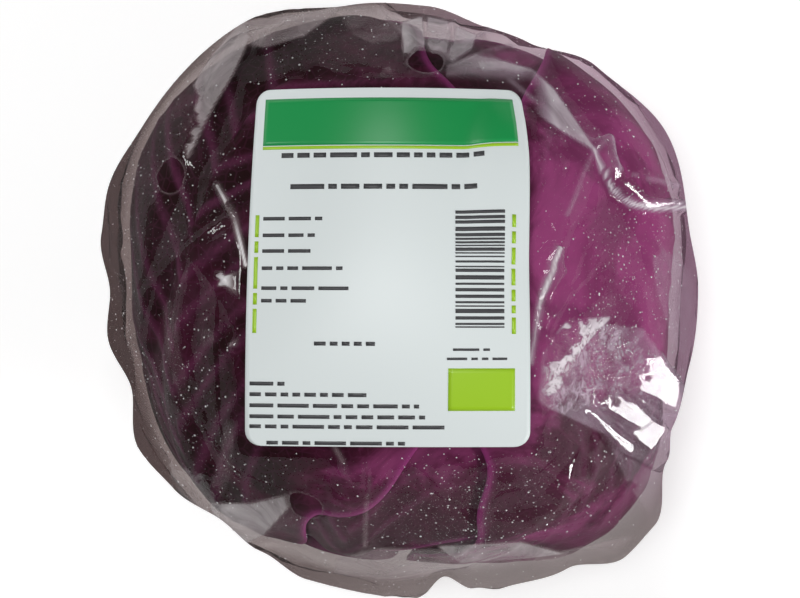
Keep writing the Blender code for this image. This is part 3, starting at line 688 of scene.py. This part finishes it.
def film_at(d):
    """Where the bag's outer face is in each direction, from the head's centre."""
    return d * film(d)[0][:, None]


# Meshes

def linked(name, data):
    """A new object in the scene, at the origin."""
    obj = bpy.data.objects.new(name, data)
    bpy.context.scene.collection.objects.link(obj)
    return obj


def mesh_object(name, points, faces, values=None):
    """An object with its place in its mesh, smooth, and with one number a vertex for each named value."""
    mesh = bpy.data.meshes.new(name)
    mesh.from_pydata(points.reshape(-1, 3).tolist(), [], faces)
    for key, numbers in (values or {}).items():
        layer = mesh.attributes.new(key, "FLOAT", "POINT")
        layer.data.foreach_set("value", np.ravel(numbers).astype(np.float32))
    mesh.shade_smooth()
    mesh.update()
    return linked(name, mesh)


def ring_faces(rings, around, top=None, bottom=None):
    """Quads between closed rings of vertices, and fans to a single vertex at either end."""
    near = np.arange(around)
    after = (near + 1) % around
    rows = np.arange(rings - 1)[:, None] * around
    quads = np.stack([rows + near, rows + near + around, rows + after + around, rows + after], -1)
    faces = quads.reshape(-1, 4).tolist()
    last = (rings - 1) * around
    if top is not None:
        faces += np.stack([np.full(around, top), near, after], -1).tolist()
    if bottom is not None:
        faces += np.stack([np.full(around, bottom), last + after, last + near], -1).tolist()
    return faces


def turn_outwards(piece):
    """Flips a sheet whose faces look at the head's centre."""
    mesh = piece.data
    first = mesh.polygons[len(mesh.polygons) // 2]
    if first.normal.dot(first.center - Vector(CENTRE)) < 0.0:
        mesh.flip_normals()


def thicken(piece, thickness):
    """Turns a sheet outwards, and gives it its thickness on that side."""
    turn_outwards(piece)
    wall = piece.modifiers.new("thickness", "SOLIDIFY")
    wall.thickness = thickness
    wall.offset = 1.0


def finish_piece(piece, slot, material, *nodes):
    piece.data.materials.append(material)
    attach(piece, "root")
    for node in nodes:
        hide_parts(node)


# Materials

def new_material(name):
    material = bpy.data.materials.new(name)
    material.use_nodes = True
    tree = material.node_tree
    tree.nodes.clear()
    return material, tree


def add(tree, kind, inputs=None, **settings):
    """Adds a shader node. An input given as a socket is linked, and one given as a value is set."""
    node = tree.nodes.new("ShaderNode" + kind)
    for key, value in settings.items():
        setattr(node, key, value)
    for key, value in (inputs or {}).items():
        if isinstance(value, bpy.types.NodeSocket):
            tree.links.new(value, node.inputs[key])
        else:
            node.inputs[key].default_value = value
    return node


def finish_material(material, shader):
    """Links the shader to the surface."""
    tree = material.node_tree
    tree.links.new(shader.outputs[0], add(tree, "OutputMaterial").inputs["Surface"])
    return material


def place(tree):
    return add(tree, "TexCoord").outputs["Object"]


def noise(tree, scale, detail=3.0, rough=0.5, distortion=0.0):
    inputs = {"Scale": scale, "Detail": detail, "Roughness": rough, "Distortion": distortion}
    return add(tree, "TexNoise", {"Vector": place(tree), **inputs}).outputs["Fac"]


def attribute(tree, name):
    return add(tree, "Attribute", attribute_name=name).outputs["Fac"]


# The rest start from a node or its output, and add to the tree that it is in

def ramp(value, low, high, to_low=0.0, to_high=1.0):
    inputs = {"Value": value, "From Min": low, "From Max": high, "To Min": to_low, "To Max": to_high}
    return add(value.id_data, "MapRange", inputs, interpolation_type="SMOOTHSTEP").outputs["Result"]


def mix_colour(share, first, second):
    return add(share.id_data, "Mix", {0: share, 6: first, 7: second}, data_type="RGBA").outputs[2]


def mix_shader(share, first, second):
    inputs = {0: share, 1: first.outputs[0], 2: second.outputs[0]}
    return add(first.id_data, "MixShader", inputs)


def reckon(operation, first, second):
    return add(first.id_data, "Math", {0: first, 1: second}, operation=operation).outputs[0]


def times(first, second):
    return reckon("MULTIPLY", first, second)


def plus(first, second):
    return reckon("ADD", first, second)


# Leaf tones from near black to vivid magenta. The lighter ones, on the +X side, are partly painted light.
DARK_LEAF = (0.015, 0.004, 0.005, 1.0)
DEEP_LEAF = (0.060, 0.008, 0.026, 1.0)
BRIGHT_LEAF = (0.310, 0.056, 0.185, 1.0)
BLOOM = (0.120, 0.050, 0.085, 1.0)
VEIN = (0.210, 0.045, 0.130, 1.0)
MARGIN = (0.300, 0.040, 0.190, 1.0)
GREY_GATHER = (0.230, 0.170, 0.165, 1.0)
ROSY_GATHER = (0.330, 0.150, 0.260, 1.0)
PALE_AND_GLINT_WHITE = (0.850, 0.840, 0.850, 1.0)
HAZE = (0.310, 0.248, 0.258, 1.0)
ROSY_HAZE = (0.520, 0.400, 0.500, 1.0)
CLEAR = (0.97, 0.965, 0.96, 1.0)


def leaf_material():
    """Near black to magenta by the value magenta, mottled, with bloom, veins, a fine net and pale margins.
    The
    value magenta is partly painted light: higher on the side towards the window lamp.
    """
    material, tree = new_material("cabbage_leaf")
    shade = plus(attribute(tree, "magenta"), ramp(noise(tree, 34, 5, 0.6, 0.8), 0.36, 0.66, -0.26, 0.26))
    cells = add(tree, "TexVoronoi", {"Vector": place(tree), "Scale": 330.0}, feature="DISTANCE_TO_EDGE")
    net = ramp(cells.outputs["Distance"], 0.0, 0.10, 0.08, 0.0)
    colour = DARK_LEAF
    for share, over in (
        (ramp(shade, 0.0, 0.55), DEEP_LEAF), (ramp(shade, 0.45, 1.0), BRIGHT_LEAF),
        (ramp(noise(tree, 70, 6, 0.65), 0.45, 0.75, 0.0, 0.20), BLOOM),
        (times(attribute(tree, "vein"), 0.6), VEIN), (net, VEIN), (attribute(tree, "margin"), MARGIN),
    ):
        colour = mix_colour(share, colour, over)
    bump = add(tree, "Bump", {"Strength": 0.30, "Distance": 0.0002, "Height": plus(net, noise(tree, 300, 3))})
    return finish_material(material, add(tree, "BsdfPrincipled", {
        "Base Color": colour, "Roughness": 0.45, "Specular IOR Level": 0.03, "Normal": bump.outputs[0],
    }))


def film_material():
    """Clear film: gloss and slight haze that grow at a slant, haze where pale, and a tint where gathered. The
    pale haze holds painted highlights and reflections, and white specks are painted glints of tiny drops.
    """
    material, tree = new_material("clear_film")
    names = ("pale", "crumple", "gathered", "leaf_tint_and_painted_light")
    pale, crumple, gathered, leaf_tint_and_painted_light = (attribute(tree, name) for name in names)
    rough = times(noise(tree, 420, 5, 0.7, 0.4), crumple)
    height = plus(ramp(noise(tree, 60, 4, 0.6), 0.0, 1.0), times(rough, 3.0))
    bump = add(tree, "Bump", {"Strength": 0.5, "Distance": 0.0004, "Height": height}).outputs["Normal"]

    # Specks: the middles of some small cells, white dots painted as the glints of tiny drops
    cells = add(tree, "TexVoronoi", {"Vector": place(tree), "Scale": 800.0})
    wanted = ramp(noise(tree, 90, 3, 0.6), 0.35, 0.70, 0.01, 0.32)
    chosen = reckon("LESS_THAN", add(tree, "SeparateColor", {0: cells.outputs["Color"]}).outputs[0], wanted)
    speck_glint = times(reckon("LESS_THAN", cells.outputs["Distance"], 0.12), chosen)

    # The haze: the pale value, with its painted highlights and reflections, and a little for the slant,
    # streaked and crinkled, and the specks' painted glints over it
    slant = add(tree, "LayerWeight", {"Blend": 0.5}).outputs["Facing"]
    haze = plus(plus(pale, 0.003), times(reckon("POWER", slant, 7.0), 0.06))
    haze = times(haze, ramp(noise(tree, 55, 5, 0.6, 1.5), 0.30, 0.70, 0.55, 1.25))
    crinkle = ramp(noise(tree, 330, 5, 0.75, 0.6), 0.36, 0.66, -0.9, 1.0)
    haze = reckon("MINIMUM", times(haze, plus(times(crinkle, crumple), 1.0)), 0.92)
    haze = reckon("MAXIMUM", haze, times(speck_glint, 0.75))

    # The film's tints go rosy and lighter towards +X: partly the leaf's colour under the film, partly painted
    # light.
    dense = mix_colour(leaf_tint_and_painted_light, GREY_GATHER, ROSY_GATHER)
    clear = add(tree, "BsdfTransparent", {"Color": mix_colour(gathered, CLEAR, dense)})
    # White where the specks and the palest marks are: painted glints and highlights, and the palest folds
    glint_and_fold_white = reckon("MAXIMUM", speck_glint, ramp(pale, 0.40, 1.0))
    thin = mix_colour(leaf_tint_and_painted_light, HAZE, ROSY_HAZE)
    fog = add(tree, "BsdfDiffuse", {"Color": mix_colour(glint_and_fold_white, thin, PALE_AND_GLINT_WHITE)})
    gloss = add(tree, "BsdfGlossy", {"Roughness": 0.06, "Normal": bump})
    most = ramp(crumple, 0.0, 1.0, 0.018, 0.10)
    share = reckon("MINIMUM", add(tree, "Fresnel", {"IOR": 1.46, "Normal": bump}).outputs[0], most)
    return finish_material(material, mix_shader(share, mix_shader(haze, clear, fog), gloss))


def drop_material():
    """Small beads of water: a painted white for their glints, with gloss, and they let some of what is under
    them through.
    """
    material, tree = new_material("water_drops")
    white = add(tree, "BsdfDiffuse", {"Color": PALE_AND_GLINT_WHITE})
    gloss = add(tree, "BsdfGlossy", {"Roughness": 0.08})
    clear = add(tree, "BsdfTransparent")
    solid = ramp(add(tree, "LayerWeight", {"Blend": 0.5}).outputs["Facing"], 0.0, 0.9, 0.70, 0.98)
    return finish_material(material, mix_shader(solid, clear, mix_shader(0.35, white, gloss)))


def plain_material(name, colour, roughness, glow=0.0):
    material, tree = new_material(name)
    grain = add(tree, "Bump", {"Strength": 0.1, "Distance": 0.0001, "Height": noise(tree, 900, 2)})
    return finish_material(material, add(tree, "BsdfPrincipled", {
        "Base Color": (*colour, 1.0), "Roughness": roughness, "Normal": grain.outputs["Normal"],
        "Emission Color": (*colour, 1.0), "Emission Strength": glow,
    }))


# Pieces

SIDE_VEINS = 11
VEIN_HEIGHT = 0.35 * MM
MARGIN_WIDTH = 1.1 * MM


def veins(leaf, away, side):
    """Side veins that leave the midrib at a slant and bend outwards, thinning as they go, from 0 to 1."""
    size = HEART_HALF_SIZE[0]
    across, along = np.abs(away * np.cos(side)) * size, away * np.sin(side) * size
    length = (LEAF_BASE + LEAF_TIPS[leaf]) * size
    height = np.zeros(away.shape)
    for number in range(SIDE_VEINS):
        start = -LEAF_BASE * size + length * (0.04 + 0.075 * number)
        slope = 1.7 - 0.09 * number
        shifted = start + 2.0 * MM * np.sign(np.cos(side)) * (number % 2)
        line = shifted + slope * across - 4.0 * across**2 + 1.2 * MM * np.sin(across / (9 * MM) + number)
        gap = np.abs(along - line) / hypot(1.0, slope)
        wide = 0.9 * MM * (1.0 - 0.7 * clamp(across / (55 * MM)))
        low = 1.0 - 0.5 * clamp(across / (60 * MM))
        height = np.maximum(height, bell(gap / wide) * low)
    return height


def magenta_and_painted_light(points):
    """Brighter towards +X, low on the left and under the head's middle, darker at the top left. The rise from
    the left towards +X, the side that the window lamp lights, is painted light and shade.
    """
    x, y = points[..., 0] / MM, points[..., 1] / MM
    right = smooth(5.0, 45.0, x) * smooth(-46.0, -12.0, y) * (1.0 - 0.25 * smooth(15.0, 45.0, y))
    foot = 0.36 * smooth(-22.0, -45.0, y) * smooth(-50.0, -10.0, x)
    below = 0.34 * smooth(5.0, -28.0, (points[..., 2] - CENTRE[2]) / MM)
    share = 0.05 + 0.16 * smooth(-45.0, -5.0, x) + right + np.maximum(foot, below) * (1.0 - right)
    return clamp(share)


def make_heart(material):
    """Rings round the crown's axis, from the crown to the stalk's cut, each at the heart's distance."""
    rings, around = 150, 240
    rim = atan(STALK_RADIUS / STALK_REACH)
    body = np.linspace(0.02, pi - rim - radians(2.5), rings - 12)
    neck = np.linspace(pi - rim - NECK_ROUND, pi - rim, 6)
    cut = np.linspace(pi - rim * 0.97, pi - 0.02, 6)
    polar = np.concatenate([body, neck, cut])
    polar, turn = np.meshgrid(polar, turns(around), indexing="ij")
    out = swing(turn, UP, SIDE)
    d = swing(polar, CROWN, out)
    radius = heart_radius(d)
    depth = np.zeros(radius.shape)
    for azimuth, reach in CROWN_LEAVES:
        middle, across, along = leaf_axes(azimuth, radians(reach) / 2)
        away = angle(d @ middle)
        side = np.arctan2(d @ along, d @ across)
        edge = radians(reach) * (0.8 + 0.05 * np.sin(5 * side + azimuth))
        depth = depth + CROWN_LEAF_STEP * smooth(edge - 0.02, edge + 0.02, away)
    radius = radius - depth * fade(*CROWN_FADE, polar)
    from_stalk = pi - polar
    cut_radius = STALK_REACH / np.cos(from_stalk)
    on_neck = fade(rim, rim + NECK_ROUND, from_stalk)
    radius = radius + (cut_radius - radius) * on_neck
    points = CENTRE + d * radius[..., None]
    ends = [CENTRE + CROWN * radius[0].mean(), CENTRE - CROWN * STALK_REACH]
    points = np.concatenate([points.reshape(-1, 3), ends])
    count = polar.size
    faces = ring_faces(polar.shape[0], around, top=count, bottom=count + 1)
    piece = mesh_object("heart_head", points, faces, {
        "magenta": np.full(len(points), 0.6), "vein": np.append(on_neck.ravel(), [0.0, 1.0]) * 0.9,
        "margin": np.zeros(len(points)),
    })
    finish_piece(piece, "heart", material, "heart")


def make_leaf(leaf, material):
    """Rings from the leaf's middle to its outline, laid on its bed, with veins raised on the outer face."""
    rings, around = 72, 220
    share = np.linspace(0.0, 1.0, rings + 1)[1:] ** 0.9
    share, side = np.meshgrid(share, turns(around), indexing="ij")
    side = side + 0.25 * np.sin(2 * side)
    middle, across, along = leaf_axes(LEAF_AZIMUTHS[leaf], LEAF_MIDDLE)
    away = share * leaf_outline(leaf, side)
    out = swing(side, across, along)
    d = swing(away, middle, out)
    d = np.concatenate([d.reshape(-1, 3), middle[None]])
    away, side = np.append(away, 0.0), np.append(side, 0.0)
    radius = spanned(lambda way: leaf_radius(way, leaf), d, LEAF_SPAN)
    vein = veins(leaf, away, side)
    points = CENTRE + d * (radius + VEIN_HEIGHT * vein)[:, None]
    faces = ring_faces(rings, around, top=len(points) - 1)
    from_edge = (1.0 - away / leaf_outline(leaf, side)) * HEART_HALF_SIZE[0]
    piece = mesh_object(f"leaf_{leaf + 1}_blade", points, faces, {
        "magenta": magenta_and_painted_light(points), "vein": vein * 0.5,
        "margin": 0.75 * bell(from_edge / MARGIN_WIDTH),
    })
    thicken(piece, LEAF_THICKNESS * 0.8)
    finish_piece(piece, "leaf", material, f"wrapper_leaf_{leaf + 1}")


FILM_TURNS = 720
FILM_BANDS = {"film_top": (0.0, 0.62, 132), "film_side": (0.62, 1.0, 132), "film_foot": (1.0, 2.0, 132)}


def make_bag(material):
    """Three bands of rings: over the top, down to the bag's edge, and under to the rest spot.

    Each band runs between two shares of the way: 1 is the bag's edge, and 2 is straight down. Its first
    ring is the last ring of the band above, and the first and last bands end in a single point.
    """
    turn = turns(FILM_TURNS)
    rim_at = rim_polar(turn)
    for name, (start, end, rings) in FILM_BANDS.items():
        way = np.linspace(start, end, rings + 1)
        way = way[way > 0.0] if end < 2.0 else way[:-1]
        past_rim = way[:, None] - 1.0
        polar = np.where(past_rim <= 0.0, way[:, None] * rim_at, rim_at + past_rim * (pi - rim_at))
        d = directions(polar, np.broadcast_to(turn, polar.shape)).reshape(-1, 3)
        top = len(d) if start == 0.0 else None
        bottom = len(d) if end == 2.0 else None
        if top or bottom:
            d = np.concatenate([d, [[0, 0, 1.0 if top else -1.0]]])
        radius, values = film(d)
        faces = ring_faces(len(way), FILM_TURNS, top=top, bottom=bottom)
        points, faces, rims = open_vents(CENTRE + d * radius[:, None], faces)
        values["pale"] = np.maximum(values["pale"] * (1.0 - rims["near"]), rims["edge"])
        piece = mesh_object(name, points, faces, values)
        turn_outwards(piece)
        finish_piece(piece, "film", material, "film_bag")


HOLE_AXES = [directions(pi / 2 - radians(rise), radians(turn)) for turn, rise in HOLES]
# How pale the line at a hole's edge is, its half width, and how far out the haze beside it is thinned
HOLE_LINE = 0.42
HOLE_LINE_WIDTH = 0.30 * MM
HOLE_CLEARED = 2.5 * MM


def off_axis(points, axis):
    """What is left of each place once its part along an axis is taken away."""
    return points - (points @ axis)[:, None] * axis


def open_vents(points, faces):
    """Takes out the faces inside each vent hole, and draws the corners left at its edge on to its circle."""
    quads = np.array([f + [f[-1]] * (4 - len(f)) for f in faces])
    kept = np.ones(len(quads), bool)
    near, line = np.zeros(len(points)), np.zeros(len(points))
    for axis in HOLE_AXES:
        rel = points - CENTRE
        off = off_axis(rel, axis)
        gap = np.where(rel @ axis > 0.0, np.linalg.norm(off, axis=1), 1.0)
        through = gap[quads].mean(1) < HOLE_RADIUS
        kept &= ~through
        edge = np.intersect1d(quads[through].ravel(), quads[~through].ravel())
        points[edge] += off[edge] * (HOLE_RADIUS / gap[edge] - 1.0)[:, None]
        near = np.maximum(near, fade(0.0, HOLE_CLEARED, gap - HOLE_RADIUS))
        line = np.maximum(line, HOLE_LINE * bell((gap - HOLE_RADIUS) / HOLE_LINE_WIDTH))
    return points, [f for f, keep in zip(faces, kept) if keep], {"near": 0.5 * near, "edge": line}


DROPS = 9500
DROP_RADII = (0.06 * MM, 0.31 * MM)
DROP_SIDES = 4
# The step along the film that its slope under a drop is worked out from, and a way to start that step
DROP_STEP = 0.4 * MM / HEART_HALF_SIZE[0]
DROP_WAY = np.array([0.31, 0.57, 0.76])
# A drop's two rings, as shares of its radius: how wide and how high. Then how high its top and its foot are
DROP_RINGS = ((1.0, -0.1), (0.75, 0.4))
DROP_TOP, DROP_FOOT = 0.62, -0.15
# Drops keep this far from the label, this high above straight down, and this many radii from a hole's axis
DROP_OFF_LABEL = 1.2 * MM
DROP_LOWEST = -0.93
DROP_OFF_HOLE = 1.15
DROP_FINENESS = 8
CLUSTERS = 90
CLUSTER_SPREAD = 0.16
# Where the drops crowd: a place in mm as seen from above, how wide, and their share of all drops
DROP_CROWDS = (
    (28, -52, 18, 0.10), (45, -45, 13, 0.08), (8, -52, 16, 0.07), (54, 12, 13, 0.08), (50, -8, 12, 0.07),
    (-50, -15, 18, 0.08), (-46, 22, 14, 0.05), (-20, 56, 16, 0.06), (44, 40, 14, 0.06), (-40, -42, 16, 0.07),
)


def drop_places():
    """Directions of the drops: some crowds on top, and the rest in clusters all round."""
    ways = []
    for x, y, wide, share in DROP_CROWDS:
        count = int(DROPS * share)
        at = rng.normal(size=(count, 2)) * wide * MM * 0.7 + np.array([x, y]) * MM
        at = at[np.linalg.norm(at, axis=1) < 0.97 * HEART_HALF_SIZE[0]]
        height = np.sqrt(HEART_HALF_SIZE[0] ** 2 - (at**2).sum(-1))
        ways.append(unit(np.column_stack([at, height])))
    left = DROPS - sum(len(w) for w in ways)
    middles = random_ways(CLUSTERS)[rng.integers(0, CLUSTERS, left)]
    ways.append(unit(middles + rng.normal(size=(left, 3)) * CLUSTER_SPREAD))
    d = np.concatenate(ways)
    return d[rng.permutation(len(d))]


def make_drops(material):
    """Low domes on the film, mostly very small, each a ring on the film, a smaller ring and a top."""
    d = drop_places()
    centre = film_at(d)
    past = past_label(centre[:, 0], centre[:, 1])
    usable = ((past > DROP_OFF_LABEL) | (d[:, 2] < 0.0)) & (d[:, 2] > DROP_LOWEST)
    for axis in HOLE_AXES:
        usable &= np.linalg.norm(off_axis(centre, axis), axis=1) > DROP_OFF_HOLE * HOLE_RADIUS
    d, centre = d[usable], centre[usable]
    side_a = unit(np.cross(d, DROP_WAY))
    side_b = np.cross(d, side_a)
    run_a, run_b = (film_at(unit(d + DROP_STEP * side)) - centre for side in (side_a, side_b))
    side_a, normal = unit(run_a), unit(np.cross(run_a, run_b))
    side_b = np.cross(normal, side_a)
    centre = CENTRE + centre
    size = DROP_RADII[0] + (DROP_RADII[1] - DROP_RADII[0]) * rng.random(len(d)) ** DROP_FINENESS
    ring = swing(turns(DROP_SIDES)[:, None], side_a, side_b)
    size = size[:, None]
    rings = [centre + (wide * ring + high * normal) * size for wide, high in DROP_RINGS]
    ends = [(centre + high * normal * size)[None] for high in (DROP_TOP, DROP_FOOT)]
    block = np.concatenate(rings + ends).transpose(1, 0, 2)
    one = np.arange(DROP_SIDES)
    after = (one + 1) % DROP_SIDES
    apex, base = np.full(DROP_SIDES, 2 * DROP_SIDES), np.full(DROP_SIDES, 2 * DROP_SIDES + 1)
    wall = np.stack([one, after, after + DROP_SIDES, one + DROP_SIDES], -1)
    cap = np.stack([one + DROP_SIDES, after + DROP_SIDES, apex], -1)
    under = np.stack([after, one, base], -1)
    offsets = (np.arange(len(d)) * block.shape[1])[:, None, None]
    faces = [f for part in (wall, cap, under) for f in (part + offsets).reshape(-1, part.shape[1]).tolist()]
    piece = mesh_object("drops", block.reshape(-1, 3), faces)
    finish_piece(piece, "film", material)


LABEL_EASE = 0.5 * MM
INK_LIFT = 0.06 * MM
INK_THICKNESS = 0.02 * MM


def label_points(x, y, above):
    """A flat place on the label, bent on to the film and turned, lifted off it by above.

    Where the leaves stand higher than the label's own curve it eases over them.
    """
    bend = label_bend(y)
    bent_x, bent_y = bend * np.sin(x / bend), LABEL_BENDS[2] * np.sin(y / LABEL_BENDS[2])
    turned_x = LABEL_CENTRE[0] + bent_x * cos(LABEL_TURN) - bent_y * sin(LABEL_TURN)
    turned_y = LABEL_CENTRE[1] + bent_x * sin(LABEL_TURN) + bent_y * cos(LABEL_TURN)
    d = unit(np.stack([turned_x, turned_y, label_height(turned_x, turned_y)], -1))
    bed = label_radius(d)
    short = read_reach(*polar_and_turn(d)) - bed
    bed = bed + 0.5 * (short + np.hypot(short, LABEL_EASE))
    return CENTRE + d * (bed + FILM_THICKNESS + above)[..., None]


def patch(x0, x1, y0, y1, corner, above, cell=1.0 * MM):
    """A rectangle with round corners as a grid, whose rows narrow to follow the corners."""
    half_x, half_y = (x1 - x0) / 2, (y1 - y0) / 2
    rows = np.linspace(-half_y, half_y, max(2, int(2 * half_y / cell)) + 1)
    if corner > 0.0:
        bow = half_y - corner + corner * np.sin(np.linspace(0.0, pi / 2, 7))
        rows = np.unique(np.concatenate([-bow, rows[np.abs(rows) < half_y - corner], bow]))
    into_corner = np.maximum(np.abs(rows) - (half_y - corner), 0.0)
    inset = corner - np.sqrt(np.maximum(corner**2 - into_corner**2, 0.0))
    across = np.linspace(-1.0, 1.0, max(2, int(2 * half_x / cell)) + 1)
    y, u = np.meshgrid(rows, across, indexing="ij")
    x = u * (half_x - inset)[:, None]
    points = label_points(x + (x0 + x1) / 2, y + (y0 + y1) / 2, above)
    down, wide = y.shape
    first = (np.arange(down - 1)[:, None] * wide + np.arange(wide - 1)).ravel()
    return points.reshape(-1, 3), np.stack([first, first + 1, first + 1 + wide, first + wide], -1)


def patches(name, boxes, above, thickness, material, corner=0.0, nodes=()):
    """One piece of several patches, thickened outwards."""
    points, faces, count = [], [], 0
    for box in boxes:
        p, f = patch(*(v * MM for v in box), corner, above)
        points.append(p)
        faces.append(f + count)
        count += len(p)
    piece = mesh_object(name, np.concatenate(points), np.concatenate(faces).tolist())
    thicken(piece, thickness)
    finish_piece(piece, "paper", material, *nodes)


# Rows of dashes: their two ends, their middle's height and how tall, in mm from the label's middle
DASH_ROWS = (
    (-23.8, 20.8, 24.2, 2.3), (-21.5, 19.2, 17.2, 2.3), (-27.6, -13.3, 10.2, 1.6),
    (-27.6, -14.5, 6.6, 1.6), (-27.6, -14.9, 3.2, 1.6), (-27.6, -9.7, -0.5, 1.6),
    (-27.6, -7.5, -4.8, 1.6), (-27.6, -17.0, -7.5, 1.6), (-15.8, -2.7, -16.7, 1.8),
    (-29.9, -22.2, -25.6, 1.8), (-29.9, -4.5, -28.0, 1.8), (-29.9, 6.8, -30.5, 1.8),
    (-29.9, 8.1, -33.0, 1.8), (-29.9, 12.9, -35.3, 1.8), (-26.2, 3.8, -39.1, 1.8),
    (14.0, 23.1, -17.9, 1.1), (12.7, 25.8, -19.9, 1.1),
)
# Upright rows: how far across, and their two ends
DASH_COLUMNS = ((-29.0, -14.5, 11.0), (27.3, -14.5, 11.0))
DASH_LENGTHS = (1.6, 2.4, 3.4, 5.0, 6.5)
DASH_GAP = 0.9
COLUMN_HALF_WIDTH = 0.45
# The block of stripes: its two sides and two ends, then the widths of its stripes and of their gaps
STRIPE_SIDES = (14.5, 25.2)
STRIPE_ENDS = (12.0, -13.0)
STRIPE_WIDTHS = (0.3, 0.45, 0.7, 0.9)
STRIPE_GAPS = (0.3, 0.45, 0.7)


def dashes(x0, x1, y, tall):
    """A row of plain dashes of mixed lengths."""
    boxes = []
    while x0 < x1 - 1.0:
        end = min(x0 + rng.choice(DASH_LENGTHS) * (0.6 + 0.25 * tall), x1)
        boxes.append((x0, end, y - 0.24 * tall, y + 0.24 * tall))
        x0 = end + DASH_GAP
    return boxes


def make_label():
    """The sheet, a green band, a lime block and edging, a block of stripes, and rows of plain dashes."""
    paper = plain_material("label_paper", (0.75, 0.81, 0.81), 0.45)
    green = plain_material("band_green", (0.010, 0.30, 0.075), 0.35)
    lime = plain_material("block_lime", (0.36, 0.62, 0.02), 0.35)
    ink = plain_material("rule_ink", (0.05, 0.05, 0.055), 0.5)
    rules = [box for row in DASH_ROWS for box in dashes(*row)]
    columns = [
        (x - COLUMN_HALF_WIDTH, x + COLUMN_HALF_WIDTH, start, end)
        for x, low, high in DASH_COLUMNS for start, end, *_ in dashes(low, high, 0, 1.8)
    ]
    stripe, last = STRIPE_ENDS
    while stripe > last:
        wide = rng.choice(STRIPE_WIDTHS)
        rules.append((*STRIPE_SIDES, stripe - wide, stripe))
        stripe -= wide + rng.choice(STRIPE_GAPS)
    half_x, half_y = LABEL_SIZE[0] / 2 / MM, LABEL_SIZE[1] / 2 / MM
    patches("label_sheet", [(-half_x, half_x, -half_y, half_y)], LABEL_ABOVE, LABEL_THICKNESS, paper,
            LABEL_CORNER, ["label"])
    above = LABEL_ABOVE + LABEL_THICKNESS + INK_LIFT
    for name, boxes, material in (
        ("label_band", [(-28.5, 28.5, 26.5, 37.5)], green),
        ("label_block", [(13.0, 27.5, -31.5, -22.0)], lime),
        ("label_edging", [(-28.5, 28.5, 25.6, 26.3)], lime),
        ("label_columns", columns, lime), ("label_rules", rules, ink),
    ):
        patches(name, boxes, above, INK_THICKNESS, material)


def make_stage():
    """A plain pale floor that fills the view."""
    half = 8.0
    corners = np.array([[-half, -half, 0], [half, -half, 0], [half, half, 0], [-half, half, 0]])
    floor = mesh_object("floor", corners - [0, 0, 0.2 * MM], [[0, 1, 2, 3]])
    floor.data.materials.append(plain_material("floor_pale", (0.97, 0.97, 0.97), 0.9, glow=0.32))


def make_light():
    """A faint warm surround, and the lamps, each facing the head's centre."""
    world = bpy.data.worlds.new("studio")
    world.use_nodes = True
    surround = world.node_tree.nodes["Background"].inputs
    surround["Color"].default_value = (1.0, 0.97, 0.95, 1.0)
    surround["Strength"].default_value = 0.06
    bpy.context.scene.world = world
    for name, (place, size, power) in LAMPS.items():
        lamp = bpy.data.lights.new(name, "AREA")
        lamp.shape = "RECTANGLE"
        lamp.size, lamp.size_y = size
        lamp.energy = power
        obj = linked(name, lamp)
        obj.location = place
        obj.rotation_euler = (Vector(CENTRE) - Vector(place)).to_track_quat("-Z", "Y").to_euler()


def make_camera():
    lens = bpy.data.cameras.new("camera")
    lens.lens = CAMERA_LENS
    lens.sensor_width = 36.0
    camera = linked("camera", lens)
    camera.location = CAMERA_PLACE
    bpy.context.scene.camera = camera


def main():
    leaf = leaf_material()
    make_heart(leaf)
    for number in range(len(LEAF_AZIMUTHS)):
        make_leaf(number, leaf)
    make_bag(film_material())
    make_drops(drop_material())
    make_label()
    make_stage()
    make_light()
    make_camera()
    bpy.context.scene.view_settings.view_transform = "Standard"


main()
